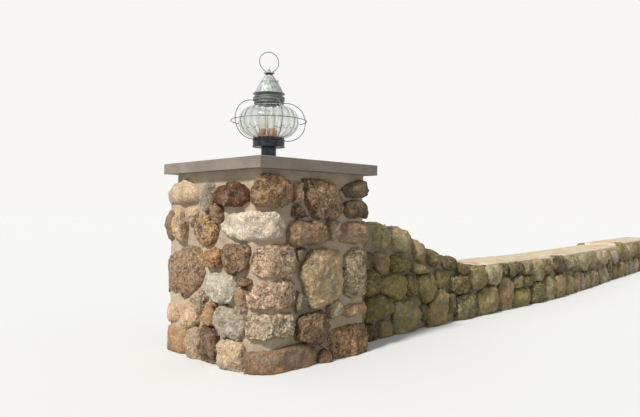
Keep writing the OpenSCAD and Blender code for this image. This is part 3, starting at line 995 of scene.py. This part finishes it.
LEFT_BACK_CORNER = [
    ((462, 704, 718, 832), (0, 210, 718, 832), "tan pink", False, "0b 0t+ 1t", "1t"),
    ((648, 704, 540, 710), (0, 260, 540, 710), "umber", False, "0b", "1b"),
    ((414, 704, 250, 532), (0, 170, 250, 532), "tawny", True, "0b", ""),
    ((606, 704, 132, 236), (0, 250, 132, 236), "pink granite", False, "0t", "1t"),
    ((546, 704, 4, 134), (0, 190, 4, 134), "dun", False, "", "1t"),
]
BACK_RIGHT_CORNER = [
    ((480, 704, 706, 846), (500, 704, 706, 846), "tan", False, "0b", "0t"),
    ((560, 704, 560, 700), (430, 704, 560, 700), "grey tan", True, "0t", "0b"),
    ((490, 704, 402, 552), (545, 704, 402, 552), "tawny", False, "", "0t"),
    ((530, 704, 268, 394), (450, 704, 268, 394), "pink granite", True, "0b", ""),
    ((500, 704, 132, 262), (540, 704, 132, 262), "umber", False, "0t", "0b"),
    ((540, 704, 4, 124), (470, 704, 4, 124), "grey tan", True, "", "0t"),
]
# Front of the high wall and the sweep, measured along the wall from the middle of the pier
SWEEP_STONES = [
    ((350, 462, 392, 492), "olive", False, "1b"),
    ((468, 552, 388, 496), "olive", True, "0b 1b"),
    ((563, 691, 361, 478), "rose tan", False, "0b! 1b 0t"),
    ((714, 908, 349, 450), "olive yellow", True, "0b 1t 1b 0t"),
    ((913, 1080, 336, 398), "lichen tan", False, "0b 1t"),
    ((1092, 1160, 326, 366), "bark", False, ""),
    ((350, 468, 236, 382), "bark", False, ""),
    ((475, 613, 241, 371), "olive yellow", True, "0t 1t 0b 1b"),
    ((640, 850, 202, 357), "olive yellow", False, "0t 1t 0b 1b"),
    ((862, 950, 196, 346), "lichen tan", True, "0t 0b!"),
    ((952, 1161, 150, 336), "olive yellow", False, "0t 1t 0b! 1b"),
    ((1166, 1304, 237, 330), "olive", False, "0b"),
    ((1331, 1521, 169, 306), "lichen tan", True, "0b 1b"),
    ((1529, 1756, 185, 320), "moss grey", False, "0b 0t 1b"),
    ((1767, 1967, 198, 328), "pale sage", False, ""),
    ((1397, 1530, 312, 372), "bark", False, "0b"),
    ((350, 478, 92, 228), "moss grey", False, ""),
    ((483, 725, 93, 235), "olive", False, "0t 1t 1b"),
    ((730, 1008, 6, 204), "sage", False, "0t 1t!"),
    ((1020, 1056, 60, 130), "bark", False, ""),
    ((1060, 1294, 4, 222), "rose tan", False, "0t! 1t"),
    ((1304, 1368, 70, 180), "bark", False, "0t"),
    ((1374, 1640, 4, 177), "sage", True, "0t 1t"),
    ((1650, 1938, 4, 189), "lichen tan", False, "0t 1t"),
    ((350, 476, 4, 86), "bark", False, ""),
    ((480, 590, 4, 88), "bark", True, ""),
    ((598, 724, 4, 88), "rose tan", False, "1t"),
    ((1950, 2140, 4, 240), "rose tan", False, "0t 1t"),
    ((1974, 2052, 256, 328), "bark", True, ""),
    ((2068, 2186, 240, 330), "moss grey", True, "0b"),
    ((2150, 2284, 146, 232), "sage", False, ""),
    ((2152, 2428, 4, 136), "olive yellow", False, "0t 1t"),
    ((2196, 2294, 244, 330), "bark", False, "1b"),
    ((2302, 2458, 226, 330), "sage", False, "0b"),
    ((2294, 2452, 148, 220), "lichen tan", True, ""),
    ((2462, 2648, 170, 330), "pale sage", False, "0t 1b"),
    ((2438, 2670, 4, 160), "moss grey", True, "1t"),
    ((2656, 2790, 208, 330), "lichen tan", True, "0b"),
    ((2680, 2846, 4, 200), "pale sage", False, "0t 1t"),
]
# Coping stones of the front: from and to along the wall, and how deep they go, in millimetres
# The last two get dark colours that are partly the stones' own and partly painted shade
COPING_STONES = [
    (356, 556, 136, "sage"), (566, 730, 142, "pale sage"), (740, 912, 146, "pale sage"),
    (922, 1062, 126, "rose tan"), (1072, 1214, 106, "bark"), (1224, 1430, 76, "peat"),
]
# The low wall past its bend: two boulders that stand up, and the rest in courses
BEND_BOULDERS = [
    ((2856, 3078, 200, 326), "bark", True, "0b 1b"),
    ((2856, 3090, 4, 198), "rose tan", False, "0t"),
    ((4950, 5190, 210, 358), "lichen tan", True, "0t 1t"),
]


# The pier's corner stones: how far the arris of each row of them and its ends are taken off
FIRST_CORNER_CUT = {"rounded": 0.034, "nip": 0.044}
FRONT_CORNER_CUTS = {"rounded": 0.056, "nip": 0.062, "crisp": True}
RIGHT_CORNER_CUTS = {"rounded": 0.036, "nip": 0.052}
LEFT_BACK_CUTS = {"rounded": 0.010, "nip": 0.050, "proud": 0.022}
BACK_RIGHT_CUTS = {"rounded": 0.035, "nip": 0.042}

# Courses laid by rule, in metres. The pier's back: low, high, left and right
BACK_COURSES = [
    (FOOT, 0.134, 0.190, 0.472), (0.134, 0.268, 0.250, 0.542), (0.268, 0.402, 0.170, 0.452),
    (0.402, 0.552, 0.170, 0.546), (0.552, 0.706, 0.260, 0.432), (0.706, 0.850, 0.210, 0.502),
]
BACK_WIDTHS = (0.11, 0.22)
# The pier's right side over the high wall: left, right, low and high
OVER_SHOULDER = (0.260, 0.480, 0.652, 0.850)
OVER_SHOULDER_WIDTHS = (0.10, 0.16)
# The high wall's back: low and high
NEAR_BACK_COURSES = [(FOOT, 0.128), (0.128, 0.252), (0.252, 0.376), (0.376, 0.488)]
NEAR_BACK_RUN = (0.356, 1.806)
NEAR_LOW_RUN = (1.810, 2.846)
NEAR_WIDTHS = (0.13, 0.26)
# The far wall's runs along its front and back, and the low course under its tall boulder
BEND_RUN = (3.092, 4.930)
UNDER_BOULDER = (4.940, 5.200, FOOT, 0.204)
LAST_RUN = (5.204, 6.820)
FAR_BACK_RUN = (2.856, 6.790)
FAR_WIDTHS = (0.13, 0.27)
FAR_BACK_WIDTHS = (0.14, 0.28)
# The far wall's end: low, high, and how far its corner stones go along the front and the back; then
# where the two meet, the share of pitted ones, how far they stand in, and what their arris loses
END_COURSES = [(FOOT, 0.120, 0.16, 0.20), (0.120, 0.240, 0.18, 0.14), (0.240, 0.364, 0.15, 0.20)]
END_MIDDLE = (0.17, 0.23)
END_PITTED = 0.3
END_BACK = 0.008
END_CUTS = {"rounded": 0.020, "nip": 0.024}


def face_stones(face, rows, draw):
    """The stones of a table, on one face."""
    stones = []
    for outline, colour, pitted, corners in rows:
        outline = in_metres(outline)
        stones.append(Stone(colour, [(face, outline)], pitted, PROUD + draw.uniform(*PROUD_UNEVEN),
                            cuts=clips(face, outline, corners, draw)))
    return stones


def corner_stones(first, second, rows, draw, proud=PROUD, **corner):
    """The stones of a table, round the corner between two faces. Their sides at it stay whole."""
    stones = []
    for one, two, colour, pitted, one_corners, two_corners in rows:
        one, two = in_metres(one), in_metres(two)
        kept_first = "0tx 0bx " if one[0] < 0 else "1tx 1bx "
        kept_second = "0tx 0bx " if two[0] < 0 else "1tx 1bx "
        cuts = clips(first, one, kept_first + one_corners, draw)
        cuts += clips(second, two, kept_second + two_corners, draw)
        stones.append(Stone(colour, [(first, one), (second, two)], pitted, proud, cuts=cuts, **corner))
    return stones


def fill_course(draw, face, left, right, low, high, widths, palette):
    """Stones side by side from one end of a course to the other, their joints a little uneven."""
    stones = []
    here = left
    while right - here > COURSE_GAP:
        width = draw.uniform(*widths)
        if right - here - width < widths[0]:
            width = right - here
            if width > widths[1] * TOO_WIDE:
                width /= 2
        top = high + draw.uniform(-COURSE_UNEVEN, COURSE_UNEVEN)
        foot = low if low < LOWEST else low + draw.uniform(-COURSE_UNEVEN, COURSE_UNEVEN)
        outline = (here, here + width, foot, top)
        marks = " ".join(
            corner + draw.choice(["", "", "x", "!"])
            for corner in ("0t", "1t", "0b", "1b") if draw.random() < CLIPPED_SHARE
        )
        stones.append(Stone(
            draw.choice(palette), [(face, outline)], draw.random() < PITTED_SHARE,
            PROUD + draw.uniform(-FACE_UNEVEN, FACE_UNEVEN), cuts=clips(face, outline, marks, draw),
        ))
        here += width
    return stones


def build_pier(stone_finishes, lime):
    draw = random.Random(PIER_DRAW)
    front_corner = corner_stones(LEFT, FRONT, FRONT_CORNER[:1], draw, **FIRST_CORNER_CUT)
    front_corner += corner_stones(LEFT, FRONT, FRONT_CORNER[1:], draw, **FRONT_CORNER_CUTS)
    right_corner = corner_stones(FRONT, RIGHT, RIGHT_CORNER, draw, **RIGHT_CORNER_CUTS)
    left_back = corner_stones(LEFT, BACK, LEFT_BACK_CORNER, draw, **LEFT_BACK_CUTS)
    back_right = corner_stones(RIGHT, BACK, BACK_RIGHT_CORNER, draw, **BACK_RIGHT_CUTS)
    left = face_stones(LEFT, LEFT_STONES, draw)
    front = face_stones(FRONT, FRONT_STONES, draw)
    right = fill_course(draw, RIGHT, *OVER_SHOULDER, OVER_SHOULDER_WIDTHS, PIER_PALETTE)
    back = []
    for low, high, start, end in BACK_COURSES:
        back += fill_course(draw, BACK, start, end, low, high, BACK_WIDTHS, PIER_PALETTE)
    hidden = back + left_back + back_right + right
    chips = face_stones(LEFT, LEFT_CHIPS, draw)
    everything = front_corner + right_corner + left + front + hidden + chips
    for name, stones, levels, seed in (
        ("pier_stones_left", left + front_corner + chips, 3, 100),
        ("pier_stones_front", front + right_corner, 3, 200),
        ("pier_stones_back", hidden, 1, 300),
    ):
        piece = lay_stones(name, stones, everything, stone_finishes, levels, seed)
        settle(piece, "pier_stone", "pier_body")
    mortar_core("pier_mortar", ["pier_body"], lime, voxel=0.012, rough=0.010, shape=shape_pier_corners)
    mortar_core("pier_neck_mortar", ["pier_neck"], lime, voxel=0.010, rough=0.005, recess=0)


def sweep_top(along):
    """Height of the wall's top at a distance from the middle of the pier."""
    if along <= SHOULDER_END:
        return SHOULDER_H
    if along < SHOULDER_END + SWEEP_R * math.sin(SWEEP_TURN):
        return SHOULDER_H - SWEEP_R + math.sqrt(SWEEP_R ** 2 - (along - SHOULDER_END) ** 2)
    if along < SWEEP_END:
        return LOW_H + TAIL_R - math.sqrt(TAIL_R ** 2 - (SWEEP_END - along) ** 2)
    return LOW_H + (FAR_STEP if along > STEP_AT else 0)


def sweep_slope(along):
    """The way along the wall's top, as a run and a rise."""
    rise = sweep_top(along + SLOPE_STEP) - sweep_top(along - SLOPE_STEP)
    return Vector((2 * SLOPE_STEP, rise)).normalized()


def coping_depth(along):
    """How far the coping goes down at a distance along the wall."""
    for _, right, deep, _ in COPING_STONES:
        if along < right * MM:
            return deep * MM
    return 0.0


def under_top(face, stones):
    """Keeps the stones under the coping, or under the wall's top, and cuts the highest along that line."""
    kept = []
    for stone in stones:
        left, right, low, high = stone.shown[0][1]
        middle = (left + right) / 2
        limit = sweep_top(middle) - coping_depth(middle) - UNDER_COPING
        if low > limit - LEAST_UNDER:
            continue
        if high > limit - NEAR_LIMIT:
            slope = sweep_slope(middle)
            stone.cuts.append((face.at(middle, limit), face.way(-slope.y, slope.x)))
            stone.shown = [(face, (left, right, low, min(high, limit + LIMIT_SLACK)))]
        kept.append(stone)
    return kept


def coping(face, rows, draw):
    """Upright coping stones whose tops follow the wall's, each as deep as half the wall."""
    stones = []
    for left, right, deep, colour in rows:
        left, right, deep = left * MM, right * MM, deep * MM
        middle = (left + right) / 2
        top = sweep_top(middle)
        slope = sweep_slope(middle)
        drop = abs(sweep_top(left) - sweep_top(right)) / 2
        outline = (left - COPING_LAP, right + COPING_LAP, top - deep - drop, top + drop + COPING_SPARE)
        crest = top + COPING_CREST + draw.uniform(*CREST_UNEVEN)
        cuts = [
            (face.at(middle, crest), face.way(-slope.y, slope.x)),
            (face.at(middle, top - deep), face.way(slope.y, -slope.x)),
        ]
        for edge, way in ((left, -1), (right, 1)):
            foot = (edge - way * COPING_TAPER, top - deep - slope.y / slope.x * (middle - edge))
            cuts.append((face.at(*foot), face.way(way * COPING_SPLAY, -1)))
        stones.append(Stone(colour, [(face, outline)], draw.random() < COPING_PITTED, PROUD - COPING_BACK,
                            WALL_HALF - COPING_MIDDLE_GAP, cuts))
    return stones


NEAR_FRONT = Face((0, -WALL_HALF), 0, -1)
NEAR_BACK = Face((0, WALL_HALF), 0, 1)
BEND_TURN = math.radians(BEND)
FAR_START = Vector((BEND_AT * (1 - math.cos(BEND_TURN)), -BEND_AT * math.sin(BEND_TURN)))
ACROSS = Vector((math.sin(BEND_TURN), -math.cos(BEND_TURN))) * WALL_HALF
FAR_FRONT = Face(FAR_START + ACROSS, BEND, -1)
FAR_BACK = Face(FAR_START - ACROSS, BEND, 1)
END_CORNER = FAR_FRONT.at(WALL_END, 0)
END = Face((END_CORNER.x, END_CORNER.y), BEND + 90, -1)


def two_courses(draw, face, left, right, widths, palette):
    """The low wall's stones: two rough courses, with some stones as tall as both."""
    stones = []
    here = left
    while right - here > RUN_GAP:
        width = draw.uniform(*RUN_WIDTH)
        if right - here - width < RUN_WIDTH[0]:
            width = right - here
        top = sweep_top(here + width / 2) - STONES_UNDER_WASH
        split = top * draw.uniform(*SPLIT)
        if draw.random() < TALL_SHARE:
            tall = draw.uniform(*TALL_WIDTH)
            tall_widths = (tall, tall + TALL_SPARE)
            stones += fill_course(draw, face, here, here + tall, FOOT, top, tall_widths, palette)
            here += tall
            continue
        stones += fill_course(draw, face, here, here + width, FOOT, split, widths, palette)
        stones += fill_course(draw, face, here, here + width, split, top, widths, palette)
        here += width
    for stone in stones:
        where, (start, end, low, high) = stone.shown[0]
        limit = sweep_top((start + end) / 2) - STONES_UNDER_WASH + draw.uniform(*WASH_UNEVEN)
        stone.shown = [(where, (start, end, low, min(high, limit)))]
    return stones


def build_near_wall(stone_finishes, lime):
    """The high wall, the sweep and the first low bay, all on the pier's own line."""
    draw = random.Random(NEAR_WALL_DRAW)
    front = under_top(NEAR_FRONT, face_stones(NEAR_FRONT, SWEEP_STONES, draw))
    back = []
    for low, high in NEAR_BACK_COURSES:
        back += fill_course(draw, NEAR_BACK, *NEAR_BACK_RUN, low, high, NEAR_WIDTHS, WALL_PALETTE)
    back = under_top(NEAR_BACK, back)
    back += two_courses(draw, NEAR_BACK, *NEAR_LOW_RUN, NEAR_WIDTHS, WALL_PALETTE)
    for name, stones, levels, seed in (
        ("near_wall_front_stones", front, 2, 400),
        ("near_wall_back_stones", back, 1, 500),
    ):
        piece = lay_stones(name, stones, stones, stone_finishes, levels, seed)
        settle(piece, "wall_stone", "shoulder_wall", "sweep_wall", "low_wall_1")

    front_coping = coping(NEAR_FRONT, COPING_STONES, draw)
    rows = []
    for left, right, deep, _ in COPING_STONES:
        rows.append((left, right, deep, draw.choice(COPING_PALETTE)))
    back_coping = coping(NEAR_BACK, rows, draw)
    piece = lay_stones("coping_stones", front_coping + back_coping, [], stone_finishes, 2, 600)
    settle(piece, "coping_stone", "shoulder_coping", "sweep_coping")
    nodes = ["shoulder_wall", "shoulder_coping", "sweep_wall", "sweep_coping"]
    mortar_core("near_wall_mortar", nodes, lime, voxel=0.014, rough=0.010, raised=COPING_JOINTS_RAISED)


def end_stones(draw):
    """The corner stones of the far wall's end, in three courses."""
    stones = []
    for low, high, on_front, on_back in END_COURSES:
        middle = draw.uniform(*END_MIDDLE)
        for face, on_face, end_outline in (
            (FAR_FRONT, on_front, (0, middle, low, high)),
            (FAR_BACK, on_back, (middle, 2 * WALL_HALF, low, high)),
        ):
            along = (WALL_END - on_face, WALL_END, low, high)
            stones.append(Stone(draw.choice(FAR_PALETTE), [(face, along), (END, end_outline)],
                                draw.random() < END_PITTED, PROUD - END_BACK, **END_CUTS))
    return stones


def build_far_wall(stone_finishes, lime):
    """The low bays past the bend, and the mortar and wash of all the low bays."""
    draw = random.Random(FAR_WALL_DRAW)
    boulders = face_stones(FAR_FRONT, BEND_BOULDERS, draw)
    front = boulders[:2] + two_courses(draw, FAR_FRONT, *BEND_RUN, FAR_WIDTHS, FAR_PALETTE)
    front += boulders[2:] + fill_course(draw, FAR_FRONT, *UNDER_BOULDER, FAR_WIDTHS, FAR_PALETTE)
    front += two_courses(draw, FAR_FRONT, *LAST_RUN, FAR_WIDTHS, FAR_PALETTE)
    back = two_courses(draw, FAR_BACK, *FAR_BACK_RUN, FAR_BACK_WIDTHS, FAR_PALETTE)
    ends = end_stones(draw)
    everything = front + back + ends
    for name, stones, seed in (
        ("far_wall_front_stones", front, 700),
        ("far_wall_back_stones", back, 800),
        ("far_wall_end_stones", ends, 900),
    ):
        piece = lay_stones(name, stones, everything, stone_finishes, 1, seed)
        settle(piece, "wall_stone", *["low_wall_%d" % bay for bay in range(2, 6)])
    nodes = ["low_wall_%d" % bay for bay in range(1, 6)] + ["low_wash_%d" % bay for bay in range(1, 6)]
    mortar_core("low_wall_mortar", nodes, lime, voxel=0.016, rough=0.014,
                raised=WASH_RAISED, side=LOW_H - PAINTED_SUN_DEPTH)


# Lantern, slab and floor


def finish_nodes(finish, *nodes):
    for node in nodes:
        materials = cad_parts[node].data.materials
        materials.clear()
        materials.append(finish)


def lantern_metal(name, dark, pale, metallic, roughness, streaks=0.0):
    """Weathered sheet metal: cloudy bloom over a darker ground, pale upright streaks that are partly left by
    rain and partly painted sheen, and streaks of grime.
    """
    finish = Finish(name, roughness, metallic)
    bloom = finish.patches(0.022, start=0.38, full=0.66, detail=6, roughness=0.62)
    colour = finish.mix(bloom, dark, pale)
    if streaks:
        # Painted sheen: the pale upright streaks stand partly for rain marks and partly for the sheen on the
        # metal
        pale_streaks = finish.patches(0.0075, start=0.42, full=0.60, most=streaks,
                              detail=3, roughness=0.5, stretch=STREAK_STRETCH, shift=1.3)
        colour = finish.mix(pale_streaks, colour, RAIN_RUN_AND_SHEEN)
        grime = finish.patches(0.0105, start=0.52, full=0.64, most=0.55,
                               detail=3, roughness=0.5, stretch=STREAK_STRETCH, shift=6.1)
        colour = finish.mix(grime, colour, GRIME)
    specks = finish.patches(0.0035, start=0.60, full=0.72, most=0.5, detail=2, roughness=0.5, shift=2.2)
    finish.colour(finish.mix(specks, colour, dark))
    finish.roughness(finish.span(bloom, low=0, high=1, to_low=roughness - 0.10, to_high=roughness + 0.14))
    finish.bump(finish.clouds(0.018, detail=5, roughness=0.6, shift=4.4), depth=0.0008, strength=0.4)
    return finish.material


def glass(name, roughness):
    """Clear glass, a little wavy, whose colour is still to be given."""
    finish = Finish(name, roughness)
    finish.shader.inputs["Transmission Weight"].default_value = 1.0
    finish.shader.inputs["IOR"].default_value = GLASS_IOR
    finish.bump(finish.clouds(0.03, detail=2, roughness=0.4, shift=5.0), depth=0.0006, strength=0.35)
    return finish


def bulb_glass():
    finish = glass("bulb_glass", BULB_ROUGHNESS)
    smoke = finish.patches(0.05, start=0.35, full=0.7, detail=3, roughness=0.5)
    finish.colour(finish.mix(smoke, (0.92, 0.92, 0.90), (0.97, 0.97, 0.96)))
    return finish.material


def ribbed_glass():
    """Old optic glass: clear between its ribs, darker along them as painted reflection of dark surroundings,
    and dusty in patches.
    """
    finish = glass("ribbed_glass", GLASS_ROUGHNESS)
    ribs = finish.span(finish.around(LANTERN_AXIS, GLOBE_RIBS), low=-0.7, high=0.8)
    colour = finish.mix(ribs, BETWEEN_RIBS, RIB_PAINTED_REFLECTION)
    dust = finish.patches(0.05, start=0.42, full=0.66, most=0.5,
                          detail=5, roughness=0.6, stretch=(1, 1, 0.5))
    finish.colour(finish.mix(dust, colour, GLASS_DUST))
    finish.roughness(finish.span(dust, low=0, high=0.5, to_low=0.01, to_high=0.10))
    return finish.material


def candle_card():
    """Card sleeve of a candle, a little yellowed."""
    finish = Finish("candle_sleeve_card", 0.55)
    yellowed = finish.patches(0.02, start=0.35, full=0.7)
    finish.colour(finish.mix(yellowed, (0.88, 0.86, 0.78), (0.94, 0.93, 0.88)))
    finish.bump(finish.clouds(0.004), depth=0.0005, strength=0.4)
    return finish.material


def blow_globe():
    """The ribbed globe: the CAD glass, with its ribs and rounds made smooth."""
    globe = copy_of("ribbed_globe", "glass_globe")
    globe.data.materials.clear()
    globe.data.materials.append(ribbed_glass())
    smooth = globe.modifiers.new("smooth", "SUBSURF")
    smooth.levels = smooth.render_levels = 1
    apply_all(globe)
    bpy.ops.object.shade_smooth()
    settle(globe, "globe_glass", "glass_globe")


def finish_lantern():
    zinc = lantern_metal("weathered_zinc_painted_sheen", dark=(0.24, 0.26, 0.25), pale=(0.36, 0.39, 0.37),
                         metallic=0.22, roughness=0.50, streaks=0.70)
    # Painted shade: this green is darker than the patina's own colour, for the shade under the roof
    verdigris = lantern_metal("verdigris", dark=(0.090, 0.115, 0.105), pale=(0.225, 0.265, 0.245),
                              metallic=0.4, roughness=0.50)
    bronze = lantern_metal("dark_bronze", dark=(0.020, 0.024, 0.032), pale=(0.065, 0.078, 0.098),
                           metallic=0.6, roughness=0.36)
    rusty = lantern_metal("rusty_bronze", dark=(0.045, 0.028, 0.020), pale=(0.14, 0.085, 0.06),
                          metallic=0.4, roughness=0.55)
    copper = lantern_metal("copper", dark=(0.56, 0.29, 0.19), pale=(0.80, 0.54, 0.41),
                           metallic=0.6, roughness=0.40)
    finish_nodes(zinc, "roof_skirt", "roof_crown", "vent_cap", "finial", "thumb_nut")
    finish_nodes(verdigris, "globe_collar", "collar_bead", "roof_band", "hanging_ring", "guard_ring")
    finish_nodes(verdigris, *["guard_wire_%d" % wire for wire in range(1, 5)])
    finish_nodes(bronze, "post_flange", "post", "base_drum", "vent_neck")
    finish_nodes(rusty, "globe_gallery")
    finish_nodes(copper, "candle_base")
    finish_nodes(candle_card(), *["candle_sleeve_%d" % candle for candle in range(1, 4)])
    finish_nodes(bulb_glass(), *["bulb_%d" % candle for candle in range(1, 4)])
    blow_globe()


def finish_slab():
    """Sawn sandstone: fine bedding and sand grain, in two tones."""
    sandstone = Finish("sawn_sandstone", SLAB_ROUGHNESS)
    tone = sandstone.patches(0.16, start=0.32, full=0.70, detail=6, roughness=0.6)
    colour = sandstone.mix(tone, SLAB_DARK, SLAB_PALE)
    grain = sandstone.clouds(0.0028, detail=2, roughness=0.5)
    colour = sandstone.tint(sandstone.span(grain, low=0.56, high=0.70, to_high=0.5), colour, SLAB_SPECK)
    colour = sandstone.mix(sandstone.span(grain, low=0.46, high=0.34, to_high=0.40), colour, SLAB_SAND)
    bedding = sandstone.clouds(0.06, detail=4, roughness=0.5, stretch=(1, 1, 9), shift=2.0)
    sandstone.colour(colour)
    sandstone.bump(sandstone.combine(grain, sandstone.times(bedding, 0.6)), depth=0.0022, strength=0.8)
    finish_nodes(sandstone.material, "pier_cap")


def lay_floor():
    bpy.ops.object.select_all(action="DESELECT")
    bpy.ops.mesh.primitive_plane_add(size=2 * FLOOR_HALF, location=(0, 0, -FLOOR_DROP))
    floor = bpy.context.object
    floor.name = "floor"
    paper = Finish("floor_paper", FLOOR_ROUGHNESS)
    shown = paper.mix(paper.clouds(FLOOR_CLOUDS, detail=2), FLOOR_COLOUR, FLOOR_PALER)
    paper.colour(paper.mix(looked_at(paper.nodes, paper.links), FLOOR_BOUNCE, shown))
    floor.data.materials.append(paper.material)


def main():
    set_camera()
    set_light()
    lay_floor()
    pier_finishes = [fieldstone("fieldstone"), fieldstone("pitted_fieldstone", pitted=True)]
    near_finishes = [
        fieldstone("mossy_fieldstone", mossy=NEAR_MOSS),
        fieldstone("pitted_mossy_fieldstone", pitted=True, mossy=NEAR_MOSS),
    ]
    far_finishes = [
        fieldstone("lichened_fieldstone", mossy=FAR_MOSS),
        fieldstone("pitted_lichened_fieldstone", pitted=True, mossy=FAR_MOSS),
    ]
    lime = [mortar("lime_mortar", base=(0.54, 0.45, 0.34), dark=(0.38, 0.30, 0.22))]
    # The walls' mortar in two copies: dark, partly weathering and partly painted shade; pale, painted
    # sunlight on the tops
    grey_lime = [
        mortar("weathered_mortar_painted_shade", base=(0.33, 0.28, 0.20), dark=(0.17, 0.14, 0.09)),
        mortar("sunlit_wash", base=(0.72, 0.62, 0.47), dark=(0.43, 0.34, 0.22)),
    ]
    build_pier(pier_finishes, lime)
    build_near_wall(near_finishes, grey_lime)
    build_far_wall(far_finishes, grey_lime)
    finish_slab()
    finish_lantern()


main()
